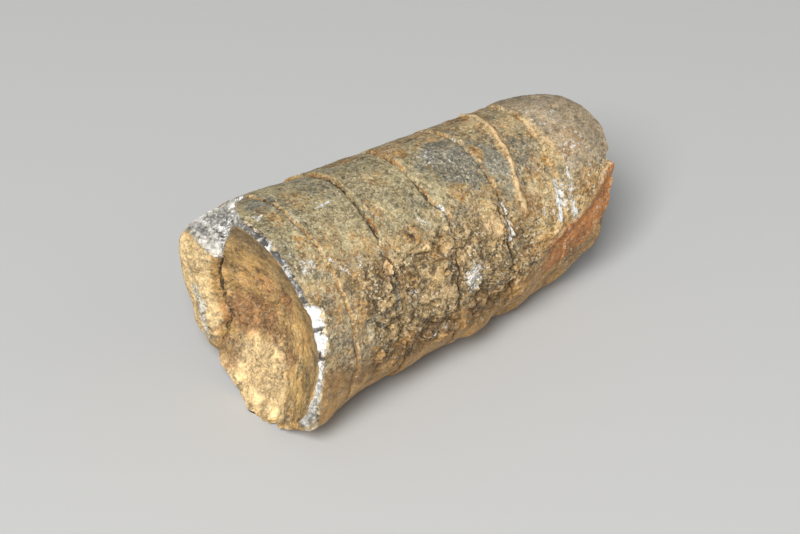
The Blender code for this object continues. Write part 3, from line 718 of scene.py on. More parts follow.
def back_points(disc_radius, turn, settings):
    """The broken tip end: an uneven swell between the ragged back edge and its middle."""
    rim_x, rim_radius = barrel_points(np.full_like(turn, BAR_LENGTH), turn, settings)[:2]
    share = disc_radius / RIM_RADIUS
    radius = rim_radius * share
    places = places_at(0.0, turn, radius)
    right, up = places[:, 1], places[:, 2]
    edge_up = rim_radius * np.cos(np.radians(turn))
    rough = BACK_SWELL + grains(places, *BACK_NOISE)
    slant = right - BACK_TILT * up + 1.2 * grain(places, 5.0, 7.7)
    rough -= LEDGE_HEIGHT * smooth(slant, 1.0, 2.6)
    large, small = (crumbs(places, *kind) for kind in BACK_CRUMBS)
    cracks = large.crack * smooth(radius, 0.5, 2.0)
    rough += 0.16 * grain(places, 1.5, 3.8) + 0.5 * large.lift + 0.4 * large.dome - 0.15 * cracks
    rough += 0.18 * small.lift
    x = BACK_MIDDLE + BACK_SLOPE * up + (rim_x - BACK_MIDDLE - BACK_SLOPE * edge_up) * share ** 5
    tone = np.clip(0.5 + 0.6 * large.lift + 0.4 * small.lift, 0.0, 1.0)
    return x + (1.0 - share ** 3) * rough, radius, 0.6 * cracks, tone


def fossil_turn(y, z):
    """The turn of a point of the bar. The bar's steps are drawn together on the crusted flank."""
    even = np.degrees(np.arctan2(-y, z))
    return even - TURN_CROWDING * np.sin(np.radians(even - CROWDED_TURN))


def plain_bar(steps):
    """The bar before shaping: one outline of disc, barrel and disc, turned about X."""
    marks = list(DISC_MARKS)
    for place, _ in BAR_LINES[1:-1]:
        marks += [(place + offset, radius, gap) for offset, radius, gap in LINE_MARKS]
    marks += BACK_MARKS
    bm = bmesh.new()
    for (x0, radius0, gap), (x1, radius1, _) in zip(marks, marks[1:]):
        first = bm.verts.new((x0 * MM, 0.0, radius0 * MM))
        second = bm.verts.new((x1 * MM, 0.0, radius1 * MM))
        edge = bm.edges.new((first, second))
        cuts = max(1, math.ceil(edge.calc_length() / (gap * MM)) - 1)
        bmesh.ops.subdivide_edges(bm, edges=[edge], cuts=cuts)
    bmesh.ops.remove_doubles(bm, verts=bm.verts[:], dist=MERGE)
    bmesh.ops.spin(
        bm, geom=bm.verts[:] + bm.edges[:], cent=(0.0, 0.0, 0.0), axis=(1.0, 0.0, 0.0),
        angle=2.0 * math.pi, steps=steps, use_merge=True, use_duplicate=False,
    )
    bmesh.ops.remove_doubles(bm, verts=bm.verts[:], dist=MERGE)
    return bm


def face_finishes(bm):
    """Gives each face its finish: 0 shell skin, 1 rock in the hollow, 2 broken calcite, 3 broken tip."""
    for face in bm.faces:
        centre = face.calc_center_median()
        radius = math.hypot(centre.y, centre.z) / MM
        turn = fossil_turn(centre.y, centre.z)
        if radius > RIM_RADIUS - 2.0 * ON_BARREL:
            continue
        if centre.x > 0.5 * BAR_LENGTH * MM:
            face.material_index = 3
        elif radius > DISC_SEPTUM and BAND_FACES[0] < turn < BAND_FACES[1]:
            face.material_index = 2
        else:
            face.material_index = 1


def stripes(past, rows, share):
    """Stripes along the sutures, thinned to their least where the share given is 0."""
    strength = 0.0
    for index, offset, width, most, least in rows:
        stripe = most * (least + (1.0 - least) * share) * bell(past[index] - offset, width)
        strength = np.maximum(strength, stripe)
    return strength


def strongest(*strengths):
    """The largest of several strengths at each point."""
    return np.maximum.reduce(np.broadcast_arrays(*strengths))


def skin_patches(x, turn, places):
    """How strong each kind of colour is at each point of the skin."""
    ragged = grains(places, *SKIN_RAGS)
    broken = clumps(places, 2.2, 8.1, -0.35, 0.25)
    past = [past_line(x, turn, suture[0], index) for index, suture in enumerate(SUTURES)]
    beside = beside_vein(x, turn)
    upper = 1.0 - far_from(turn, *VEIN_SIDE)
    below = below_flake_border(x, turn)
    band = within(below + 0.5 * ragged, *RUST_BAND) * smooth(x, *RUST_START)
    lower = smooth(below + 0.5 * ragged, 2.0, 5.0) * smooth(x, *LOWER_START)
    lip = smooth(x, *LIP_START) * bell(below + 0.3 + 0.4 * ragged, 0.45) * broken
    tip = smooth(x, *TIP_START)
    pale = tip * fall(turn, *PALE_SIDE)
    flank_crust = within(turn, *FLANK_CRUST_TURNS) * smooth(x, *FLANK_CRUST_START)
    crust = strongest(crusted(x, turn), 0.8 * flank_crust)
    # Painted shade: a grey band on both sides of the raised vein, on the upper side of the shell
    shaded = within(turn, *SHADED_TURNS) * (1.0 - bell(beside, 0.8)) * bell(beside, 2.2)

    white = patches(x, turn, WHITE_SPOTS, ragged)
    for string, half_width, most in WHITE_STRINGS:
        away = distance_on_skin(x, turn, string) / half_width + 0.45 * ragged
        white = np.maximum(white, most * fall(away, 0.3, 1.2))
    threads = 0.75 * clumps(places, 1.5, 3.7, -0.1, 0.25)
    for index, offset, first, last in WHITE_THREADS:
        along = within(turn, first, first + THREAD_END, last - THREAD_END, last)
        white = np.maximum(white, along * bell(past[index] - offset, THREAD_WIDTH) * threads)

    vein = upper * (0.68 + 0.32 * broken) * bell(beside, 0.48)
    speckled = clumps(places, 1.1, 1.9, 0.12, 0.4) * tip * fall(turn, *SPECKLED_SIDE)
    chips = clumps(places, 1.2, 7.4, 0.0, 0.3)
    healed = 0.6 * smooth(-turn, 15.0, 50.0) * clumps(places, 5.0, 2.2, -0.3, 0.3)
    patchy = clumps(places, 2.4, 4.9, -0.35, 0.15) * (1.0 - healed)
    return {
        "grey": strongest(patches(x, turn, GREY_SPOTS, ragged), 0.75 * shaded),
        "ochre": strongest(
            patches(x, turn, OCHRE_SPOTS, ragged),
            (1.0 - 0.5 * crust) * stripes(past, OCHRE_STRIPES, broken),
            0.6 * upper * bell(beside - 0.1, 1.0), lower, 0.85 * far_from(turn, *LOWER_SIDE),
        ),
        "red": band * (0.6 + 0.4 * broken),
        "white": strongest(white, 0.35 * lip),
        "dark": strongest(
            patches(x, turn, DARK_SPOTS, ragged), stripes(past, CRACK_SHADE_LINES, patchy),
            (1.0 - 0.6 * crust) * stripes(past, CRUST_CRACK_SHADE_LINES, patchy),
        ),
        "crust": crust,
        "pale": pale,
        "olive": (1.0 - far_from(turn, *OLIVE_SIDE)) * fall(x, *OLIVE_END),
        "vein": strongest(
            vein, patches(x, turn, CREAM_SPOTS, ragged), 0.32 * speckled,
            stripes(past, CREAM_HIGHLIGHT_LINES, chips), 0.65 * lip,
        ),
        "line": stripes(past, BROWN_LINES, broken),
        "brown": patches(x, turn, BROWN_AND_PAINTED_SHADE_SPOTS, ragged),
        "calm": strongest(
            0.5 * pale, band, 0.7 * within(turn, *LOWER_FLANK_TURNS),
            patches(x, turn, CALM_SPOTS, ragged),
        ),
    }


def hollow_patches(disc_radius, turn, places):
    """How strong each kind of colour is at each point of the septum and the lump."""
    right, up = places[:, 1], places[:, 2]
    ragged = grains(places, *HOLLOW_RAGS)
    lump = within(turn, *LUMP_TURNS) * smooth(disc_radius, DISC_SEPTUM + 0.2, DISC_SEPTUM + 0.8)
    strength = {}
    for name, spots in HOLLOW_SPOTS.items():
        strength[name] = np.zeros_like(right)
        for spot_right, spot_up, half_width, half_height, most in spots:
            away = np.hypot((right - spot_right) / half_width, (up - spot_up) / half_height)
            away = away + HOLLOW_PATCH_RAGS * ragged
            strength[name] = np.maximum(strength[name], most * fall(away, *HOLLOW_PATCH_EDGE))
        if name != "pale":
            strength[name] *= 1.0 - lump
    strength["pale"] = strongest(strength["pale"], 0.85 * lump)
    strength["red"] = strongest(strength["red"], 0.35 * lump * smooth(ragged, -0.1, 0.5))
    vein = bell(right + 12.2 + 0.35 * (up + 4.0), 1.1) * smooth(-up, 0.0, 3.0) * lump
    strength["grey"] = 0.7 * vein
    strength["white"] = 0.55 * vein
    # Painted shade: dark along the crack beside the lump, where the gap lies in shadow; darker above,
    # where it is wider
    crack = within(turn, *LUMP_TURNS) * (0.35 + 0.65 * crack_share(turn))
    crack *= bell(disc_radius - DISC_SEPTUM, CRACK_SHADE_WIDTH)
    strength["dark"] = strongest(crack, 0.9 * scar_slit(right, up, 0.24))
    return strength


def rim_patches(strength, disc_radius, turn, places):
    """White and dark crystals on the rim band and the broken corner."""
    share = (disc_radius - DISC_SEPTUM) / (RIM_RADIUS - DISC_SEPTUM)
    on_band = (share > 0.01) & (turn > BAND_COLOURS[0]) & (turn < BAND_COLOURS[1])
    ragged = grain(places, 1.1, 3.4)
    wide = turn + 2.5 * ragged
    blocks = within(wide, *WHITE_BLOCK_TURNS) * fall(share + 0.25 * ragged, 0.64, 0.96)
    blocks *= 1.0 - bell(wide - 69.0, 1.7)
    low = within(turn, *LOW_WHITE_TURNS) * fall(share + 0.3 * ragged, 0.4, 0.8)
    upper = within(turn, *UPPER_BAND_TURNS)
    inner = fall(share + 0.3 * ragged, 0.3, 0.65)
    dark_block = bell(wide - 85.5, 4.4) * fall(share, 0.6, 0.9)
    streaks = clumps(places, 1.3, 6.8, -0.25, 0.05)
    bits = strongest(clumps(places, 0.8, 2.4, 0.05, 0.3), 0.7 * (1.0 - streaks))
    thin = 0.16 * (1.0 - inner) + inner * bits * (0.6 - 0.3 * smooth(turn, 8.0, 26.0))
    white = strongest(blocks, 0.55 * low, upper * thin)
    dark = strongest(0.85 * dark_block, upper * inner * (0.25 + 0.6 * streaks), 0.35 * low * streaks)
    facet = within(turn, *CORNER_TURNS) * smooth(share, 0.01, 0.05)
    corner = facet * fall(share + 0.2 * ragged, 0.3, 0.7) * smooth(turn, -50.0, -30.0)
    shine = clumps(places, 2.6, 5.5, -0.05, 0.15)
    bare = facet * (1.0 - corner)
    outer = np.where(
        turn < 54.0, smooth(share + 0.25 * ragged, 0.22, 0.48), smooth(share + 0.3 * ragged, 0.45, 0.8),
    )
    beside = 1.0 - 0.8 * blocks
    strength["dark"] = np.where(on_band, dark * beside, strength["dark"]) + 0.28 * bare * (1.0 - shine)
    strength["white"] = np.where(on_band, white, strength["white"]) + bare * (0.05 + 0.34 * shine)
    strength["red"] = np.where(facet > 0.5, 0.8 * corner, np.where(on_band, 0.0, strength["red"]))
    strength["pale"] = np.where(on_band, outer * beside, strength["pale"])


def shape_stone(mesh, settings):
    """Carries every point of the plain bar to its place on the fossil and stores its colour patches."""
    noise.seed_set(BEND_SEED)
    count = len(mesh.vertices)
    co = np.empty(count * 3)
    mesh.vertices.foreach_get("co", co)
    co = co.reshape(count, 3) / MM
    bar_x = co[:, 0]
    disc_radius = np.hypot(co[:, 1], co[:, 2])
    turn = fossil_turn(co[:, 1], co[:, 2])
    x, radius, dirt, tone = (np.empty(count) for _ in range(4))
    barrel = disc_radius > RIM_RADIUS - ON_BARREL
    front = ~barrel & (bar_x < 0.5 * BAR_LENGTH)
    back = ~barrel & ~front
    for part, places, build in (
        (barrel, bar_x, barrel_points), (front, disc_radius, front_points),
        (back, disc_radius, back_points),
    ):
        x[part], radius[part], dirt[part], tone[part] = build(places[part], turn[part], settings)

    placed = places_at(x, turn, radius)
    placed[:, 0] += ORIGIN_SHIFT[0]
    placed[:, 1] = ORIGIN_SHIFT[1] - placed[:, 1]
    placed[:, 2] = np.maximum(cone_radius(x) + placed[:, 2] - REST_FLAT, 0.0)
    mesh.vertices.foreach_set("co", (placed * MM).ravel())

    skin = skin_patches(x[barrel], turn[barrel], places_at(x[barrel], turn[barrel]))
    places = places_at(0.0, turn[front], radius[front])
    hollow = hollow_patches(disc_radius[front], turn[front], places)
    rim_patches(hollow, disc_radius[front], turn[front], places)
    everywhere = {"dirt": dirt, "tone": tone}
    for name in PATCHES:
        values = everywhere.get(name, np.zeros(count))
        if name not in everywhere:
            values[barrel] = skin[name]
            values[front] = hollow.get(name, 0.0)
        attribute = mesh.attributes.new(name, "FLOAT", "POINT")
        attribute.data.foreach_set("value", np.clip(values, 0.0, 1.0).astype(np.float32))
    mesh.update()


# Materials: shared node groups, then one material for each finish

PLAIN_TAN = (0.5, 0.4, 0.25, 1.0)
CRYSTAL_GLINT = (0.9, 0.9, 0.88, 1.0)
TONE_GAIN = 0.9
LEAST_SHADE = 0.25
FLECK_BEND = 0.0009
CALMEST = 0.45
# Grain of the skin: input of the grit, its value on plain shell, its value on the crust
CRUST_GRAIN = (("contrast", 1.85, 2.5), ("light_grains", 0.55, 1.0), ("dark_grains", 0.6, 0.7))


class Wiring:
    """Short ways to add nodes to one tree and join them."""

    def __init__(self, tree):
        self.tree = tree

    def feed(self, socket, value):
        """Joins a socket to another, or sets it to a plain value."""
        if isinstance(value, NodeSocket):
            self.tree.links.new(value, socket)
        else:
            socket.default_value = value

    def node(self, kind, label, inputs, **settings):
        """A named node with its plain settings and its inputs joined or set."""
        node = self.tree.nodes.new("ShaderNode" + kind)
        node.label = label
        for key, value in settings.items():
            setattr(node, key, value)
        for key, value in inputs.items():
            self.feed(node.inputs[key], value)
        return node

    def place(self):
        """Where each point lies on the object."""
        return self.node("TexCoord", "Place", {}).outputs["Object"]

    def patch(self, name):
        """How strong a patch of the surface is."""
        return self.node("Attribute", name + " patch", {}, attribute_name=name).outputs["Fac"]

    def math(self, operation, label, first, second):
        """One sum of two sockets or numbers."""
        return self.node("Math", label, {0: first, 1: second}, operation=operation).outputs[0]

    def times(self, label, first, second):
        """Two values multiplied."""
        return self.math("MULTIPLY", label, first, second)

    def mix(self, label, share, first, second, blend_type="MIX"):
        """A colour mix of two sockets or plain colours."""
        inputs = {0: share, 6: first, 7: second}
        settings = {"data_type": "RGBA", "blend_type": blend_type, "clamp_factor": True}
        return self.node("Mix", label, inputs, **settings).outputs[2]

    def climb(self, label, value, low, high, out_low=0.0, out_high=1.0):
        """An eased climb of a value from low to high."""
        inputs = {0: value, 1: low, 2: high, 3: out_low, 4: out_high}
        return self.node("MapRange", label, inputs, interpolation_type="SMOOTHSTEP").outputs[0]

    def noise(self, label, place, scale, detail, roughness, gain=None, distortion=0.0):
        """Cloudy noise; a gain widens it round its middle so that it runs from 0 to 1."""
        inputs = {"Vector": place, "Scale": scale, "Detail": detail, "Roughness": roughness}
        value = self.node("TexNoise", label, {**inputs, "Distortion": distortion}).outputs[0]
        if gain is None:
            return value
        half = 0.5 / gain
        limits = {0: value, 1: 0.5 - half, 2: 0.5 + half}
        return self.node("MapRange", label + " from 0 to 1", limits, clamp=True).outputs[0]

    def cells(self, label, place, scale):
        """Packed cells, each with three tones of its own."""
        inputs = {"Vector": place, "Scale": scale, "Randomness": 1.0}
        cells = self.node("TexVoronoi", label, inputs, feature="F1")
        return self.node("SeparateColor", label + " tones", {0: cells.outputs["Color"]}).outputs

    def added(self, first, *parts):
        """A value with further parts added, each given as (label, value, share)."""
        for label, value, share in parts:
            first = self.math("ADD", label + " added", first, self.times(label, value, share))
        return first

    def group(self, name, label, **values):
        """A shared group with its inputs joined or set."""
        inputs = {key.replace("_", " ").capitalize(): value for key, value in values.items()}
        return self.node("Group", label, inputs, node_tree=bpy.data.node_groups[name]).outputs

    def clouds(self, label, colour, cloud, scale):
        """Two colours in clouds."""
        return self.group("Stone clouds", label, colour=colour, cloud=cloud, cloud_scale=scale)["Colour"]

    def crystals(self, label, light, dark, scale, darkness):
        """Crystals between a light and a dark colour."""
        values = {"light": light, "dark": dark, "cell_scale": scale, "darkness": darkness}
        return self.group("Calcite crystals", label, **values)

    def stains(self, colour, *stains):
        """Lays several stains over a colour, each as (patch, colour, scale, softness, strength)."""
        for patch, stain, scale, softness, strength in stains:
            share = self.patch(patch) if isinstance(patch, str) else patch
            values = {"patch": share, "softness": softness, "scale": scale, "strength": strength}
            colour = self.group("Ragged stain", "Stain", colour=colour, stain=stain, **values)["Colour"]
        return colour

    def grit(self, colour, **values):
        """The stone's grain over a colour, with the tone of its crumbs and the darkening in its cracks.
        """
        crumbly = {"tone": self.patch("tone"), "dirt": self.patch("dirt")}
        return self.group("Stone grit", "Grit", colour=colour, **crumbly, **values)


def new_group(name, inputs, outputs):
    """An empty node group: its wiring, the sockets that come in and those that go out."""
    tree = bpy.data.node_groups.new(name, "ShaderNodeTree")
    for label, default in inputs.items():
        kind = "NodeSocketFloat" if isinstance(default, float) else "NodeSocketColor"
        tree.interface.new_socket(label, in_out="INPUT", socket_type=kind).default_value = default
    for label in outputs:
        kind = "NodeSocketColor" if label == "Colour" else "NodeSocketFloat"
        tree.interface.new_socket(label, in_out="OUTPUT", socket_type=kind)
    given, result = tree.nodes.new("NodeGroupInput"), tree.nodes.new("NodeGroupOutput")
    return Wiring(tree), given.outputs, result.inputs


def clouds_group():
    """Cloudy change between two colours, large clouds broken by small ones."""
    w, given, result = new_group("Stone clouds", {
        "Colour": PLAIN_TAN, "Cloud": (0.4, 0.3, 0.2, 1.0), "Cloud scale": 250.0,
    }, ("Colour",))
    cloud = w.noise("Clouds", w.place(), given["Cloud scale"], 6.0, 0.7, gain=2.6, distortion=0.4)
    w.feed(result["Colour"], w.mix("Cloudy colour", cloud, given["Colour"], given["Cloud"]))


def stain_group():
    """Lays a second colour over the first: the stronger the patch, the more of the grains it takes."""
    w, given, result = new_group("Ragged stain", {
        "Colour": PLAIN_TAN, "Stain": (0.4, 0.2, 0.1, 1.0), "Patch": 0.0, "Softness": 0.15,
        "Scale": 700.0, "Strength": 1.0,
    }, ("Colour", "Mask"))
    place = w.place()
    clouds = w.noise("Clouds", place, given["Scale"], 4.0, 0.72, gain=2.4)
    tones = w.cells("Grains", place, w.times("Grain scale", given["Scale"], 2.6))
    rag = w.added(w.times("Cloud share", clouds, 0.6), ("Grain share", tones[0], 0.4))
    over = w.math("SUBTRACT", "Patch over grain", given["Patch"], rag)
    mask = w.climb("Mask", over, w.times("Mask low", given["Softness"], -1.0), given["Softness"])
    mask = w.times("Only in patch", mask, w.climb("Patch foot", given["Patch"], 0.01, 0.12))
    mask = w.times("Mask share", mask, given["Strength"])
    w.feed(result["Colour"], w.mix("Stained", mask, given["Colour"], given["Stain"]))
    w.feed(result["Mask"], mask)


def grit_group():
    """Sugary grain: packed light and dark grains of a few tenths of a millimetre, with their height, and
    flecks of painted highlight.
    """
    w, given, result = new_group("Stone grit", {
        "Colour": PLAIN_TAN, "Contrast": 0.5, "Light grains": 0.4, "Dark grains": 0.5,
        "Tone": 0.5, "Dirt": 0.0,
        "Light": (0.8, 0.7, 0.5, 1.0), "Dark": (0.07, 0.045, 0.022, 1.0),
    }, ("Colour", "Height"))
    place = w.place()
    broad = w.noise("Broad grain", place, 330.0, 4.0, 0.6, gain=2.6)
    middle = w.noise("Middle grain", place, 1000.0, 3.0, 0.7, gain=2.8)
    fine = w.noise("Fine grain", place, 4500.0, 2.0, 0.8, gain=3.0)
    clusters = w.noise("Clusters", place, 420.0, 3.0, 0.65, gain=2.6)
    tones = w.cells("Packed grains", place, 3600.0)
    height = w.added(
        w.times("Middle share", middle, 0.24), ("Broad share", broad, 0.13), ("Fine share", fine, 0.28),
        ("Cell share", tones[0], 0.35),
    )
    lift = w.times("Grain contrast", w.math("SUBTRACT", "Centred", height, 0.5), given["Contrast"])
    tone = w.math("SUBTRACT", "Centred tone", given["Tone"], 0.5)
    lift = w.added(lift, ("Tone share", tone, TONE_GAIN))
    shade = w.math("MAXIMUM", "Shade", w.math("ADD", "Around one", lift, 1.0), LEAST_SHADE)
    grey_shade = w.node("CombineColor", "Shade as colour", {0: shade, 1: shade, 2: shade}).outputs[0]
    colour = w.mix("Shaded colour", 1.0, given["Colour"], grey_shade, "MULTIPLY")

    light = w.times("Light in clusters", w.climb("Light grain edge", tones[1], 0.78, 0.86), clusters)
    light = w.times("Light grain share", light, given["Light grains"])
    colour = w.mix("Light grains on", light, colour, given["Light"])
    hollows = w.math("SUBTRACT", "Other clusters", 1.0, clusters)
    dark = w.times("Dark in clusters", w.climb("Dark grain edge", tones[2], 0.24, 0.16), hollows)
    dark = w.times("Dark grain share", dark, given["Dark grains"])
    colour = w.mix("Dark grains on", dark, colour, given["Dark"])

    # Flecks: painted highlights, small bright sparkles of the light colour where the clusters are strong
    bend = w.node("TexNoise", "Fleck bend", {"Vector": place, "Scale": 1600.0, "Detail": 2.0})
    bent = {0: bend.outputs["Color"], 1: (FLECK_BEND,) * 3, 2: place}
    bent_place = w.node("VectorMath", "Bent places", bent, operation="MULTIPLY_ADD").outputs[0]
    tones = w.cells("Flecks", bent_place, 2000.0)
    fleck = w.times("Fleck share", w.climb("Fleck edge", tones[0], 0.92, 0.96), given["Light grains"])
    fleck = w.times("Flecks in clusters", fleck, w.times("Highlight clusters", clusters, fine))
    colour = w.mix("Flecks on", fleck, colour, given["Light"])
    pit = w.times("Pit share", w.climb("Pit edge", tones[1], 0.91, 0.94), given["Dark grains"])
    colour = w.mix("Pits on", w.times("Pit depth", pit, 0.75), colour, given["Dark"])
    height = w.math("SUBTRACT", "Pits in height", height, w.times("Pit height", pit, 0.6))
    height = w.added(height, ("Fleck height", fleck, 0.3))
    # Darker in the cracks, holes and pores given by the mesh
    colour = w.mix("Dirt on", w.times("Dirt share", given["Dirt"], 0.4), colour, given["Dark"])
    w.feed(result["Colour"], colour)
    w.feed(result["Height"], height)


def crystal_group():
    """Broken calcite: facets of white, grey and dark, each cell with its own tone."""
    w, given, result = new_group("Calcite crystals", {
        "Light": (0.8, 0.79, 0.74, 1.0), "Dark": (0.12, 0.12, 0.11, 1.0),
        "Cell scale": 900.0, "Darkness": 0.5,
    }, ("Colour", "Height"))
    place = w.place()
    tones = w.cells("Cells", place, given["Cell scale"])
    small_tones = w.cells("Small cells", place, w.times("Small cell scale", given["Cell scale"], 2.4))
    grain_value = w.noise("Crystal grain", place, 1500.0, 4.0, 0.75, gain=2.0)
    mixed = w.added(
        w.times("Tone share", tones[0], 0.6), ("Grain share", grain_value, 0.35),
        ("Small tone share", small_tones[0], 0.45),
    )
    mixed = w.math("SUBTRACT", "Minus darkness", mixed, given["Darkness"])
    mask = w.climb("Dark or light", mixed, 0.0, 0.5)
    w.feed(result["Colour"], w.mix("Crystal colour", mask, given["Dark"], given["Light"]))
    w.feed(result["Height"], w.math("ADD", "Crystal height", tones[1], small_tones[1]))


def new_material(name):
    """A material with its wiring and its shader."""
    material = bpy.data.materials.new(name)
    material.use_nodes = True
    shader = material.node_tree.nodes["Principled BSDF"]
    shader.inputs["Metallic"].default_value = 0.0
    return material, Wiring(material.node_tree), shader


def finish_shader(w, shader, colour, height, bump, rough):
    """Joins colour, roughness and bump to the shader: bump in metres, rough as (least, most)."""
    w.feed(shader.inputs["Base Color"], colour)
    wear = w.noise("Dull and worn", w.place(), 900.0, 4.0, 0.7)
    w.feed(shader.inputs["Roughness"], w.climb("Roughness", wear, 0.35, 0.65, *rough))
    bumps = w.node("Bump", "Fine bump", {"Strength": 1.0, "Distance": bump, "Height": height})
    w.feed(shader.inputs["Normal"], bumps.outputs[0])


def shell_skin(colours):
    """Tan shell with grey, olive, ochre, rust, white and crusted patches. It has painted shade in the
    brown of the lower flank, in the grey beside the vein and in the dark suture cracks, and painted
    highlights along the suture lips.
    """
    material, w, shader = new_material("shell_skin")
    colour = w.stains(
        w.clouds("Tan stone", colours.tan, colours.ochre_light, 300.0),
        (0.4, colours.ochre, 330.0, 0.12, 0.65), (0.4, colours.cool, 260.0, 0.12, 0.65),
        (0.33, colours.cream, 420.0, 0.12, 0.65),
        ("olive", colours.olive, 350.0, 0.35, 0.8), ("crust", colours.crust, 520.0, 0.35, 0.8),
        ("pale", colours.pale, 900.0, 0.3, 0.9), ("grey", colours.grey, 700.0, 0.24, 0.85),
        ("ochre", colours.ochre, 700.0, 0.24, 0.8), ("brown", colours.brown, 500.0, 0.4, 0.75),
        ("red", colours.rust, 500.0, 0.35, 0.92),
    )
    calm = w.climb("Calmer stone", w.patch("calm"), 0.0, 1.0, 1.0, CALMEST)
    amounts = {}
    for name, on_shell, on_crust in CRUST_GRAIN:
        amount = w.climb("Crust " + name, w.patch("crust"), 0.0, 1.0, on_shell, on_crust)
        amounts[name] = w.times("Calmer " + name, amount, calm)
    grit = w.grit(colour, **amounts)
    crystals = w.crystals("White crystals", colours.bright_calcite, colours.cool, 1900.0, 0.3)
    colour = w.stains(
        grit["Colour"],
        ("vein", colours.vein, 1100.0, 0.3, 0.85), ("line", colours.line, 1500.0, 0.22, 0.85),
        ("white", crystals["Colour"], 1500.0, 0.16, 0.92), ("dark", colours.crack, 1500.0, 0.16, 0.9),
    )
    finish_shader(w, shader, colour, grit["Height"], bump=0.00022, rough=(0.4, 0.85))
    return material


def hollow_rock(colours):
    """Ochre-brown septum and lump with pale, reddish and yellow patches, painted shade darkening the top
    of the hollow, and pale lower patches that are partly painted light.
    """
    material, w, shader = new_material("hollow_rock")
    colour = w.stains(
        w.clouds("Brown rock", colours.septum, colours.septum_light, 260.0),
        # The olive patch paints shade on the top of the hollow; the pale patch is the lump's own cream
        # and, low in the hollow, partly painted light
        ("olive", colours.septum_painted_shade, 300.0, 0.4, 0.8), ("pale", colours.lump, 420.0, 0.35, 0.85),
        # The cream rock low in the hollow is partly painted light
        ("vein", colours.cream_rock_and_painted_light, 500.0, 0.4, 0.85), ("ochre", colours.yellow, 420.0, 0.35, 0.7),
        ("red", colours.red_brown, 450.0, 0.4, 0.8), ("grey", colours.grey, 700.0, 0.22, 0.7),
    )
    grit = w.grit(colour, contrast=1.25, light_grains=0.28, dark_grains=0.4)
    colour = w.stains(
        grit["Colour"],
        ("white", colours.calcite, 1500.0, 0.12, 0.85), ("dark", colours.crack, 1500.0, 0.15, 0.92),
    )
    finish_shader(w, shader, colour, grit["Height"], bump=0.00016, rough=(0.5, 0.85))
    return material


def broken_calcite(colours):
    """White and grey crystals on the rim band and the broken corner."""
    material, w, shader = new_material("broken_calcite")
    crystals = w.crystals("Crystals", colours.calcite, colours.crystal_grey, 620.0, 0.42)
    dusty = w.clouds("Tan dust", colours.tan, colours.pale, 400.0)
    dust = w.times("Less dust", w.noise("Dust", w.place(), 700.0, 4.0, 0.7, gain=2.4), 0.4)
    colour = w.stains(
        w.mix("Dusty crystals", dust, crystals["Colour"], dusty),
        ("red", colours.ochre, 800.0, 0.3, 0.7), ("pale", colours.tan, 700.0, 0.3, 0.85),
    )
    grit = w.grit(
        colour, contrast=1.1, light_grains=0.35, dark_grains=0.35, light=CRYSTAL_GLINT,
        dark=colours.crystal_dark,
    )
    colour = w.stains(
        grit["Colour"],
        ("dark", colours.crystal_dark, 1300.0, 0.18, 0.92),
        ("white", colours.bright_calcite, 1300.0, 0.22, 0.95),
    )
    finish_shader(w, shader, colour, crystals["Height"], bump=0.00028, rough=(0.22, 0.6))
    return material


def broken_tip(colours):
    """The rough break at the tip: brown-grey rock with calcite veins."""
    material, w, shader = new_material("broken_tip")
    base = w.clouds("Tip rock", colours.septum_light, colours.grey, 180.0)
    crystals = w.crystals("Tip crystals", colours.calcite, colours.crystal_grey, 900.0, 0.45)
    veins = w.noise("Veins", w.place(), 150.0, 5.0, 0.65, distortion=1.5)
    veins = w.climb("Vein edge", veins, 0.56, 0.62)
    colour = w.mix("Rock and veins", veins, base, crystals["Colour"])
    grit = w.grit(colour, contrast=1.3, light_grains=0.4, dark_grains=0.5)
    finish_shader(w, shader, grit["Colour"], grit["Height"], bump=0.0002, rough=(0.5, 0.85))
    return material


def colour_property(name, description, *rgb):
    """A colour setting for the panel."""
    return FloatVectorProperty(
        name=name, description=description, subtype="COLOR", size=4, min=0.0, max=1.0,
        default=(*rgb, 1.0),
    )


class FossilShapeSettings(PropertyGroup):
    """Sizes of the fine surface."""

    turn_steps: IntProperty(
        name="Steps round", description="Facets round the shell", default=352, min=60, max=360,
    )
    skin_roughness: FloatProperty(
        name="Skin roughness", description="Height of the small roughness on the shell", unit="LENGTH",
        default=0.00006, min=0.0, max=0.0003, precision=5,
    )
    crust_roughness: FloatProperty(
        name="Crust roughness", description="Height of one flake edge in the crust", unit="LENGTH",
        default=0.00024, min=0.0, max=0.0005, precision=5,
    )


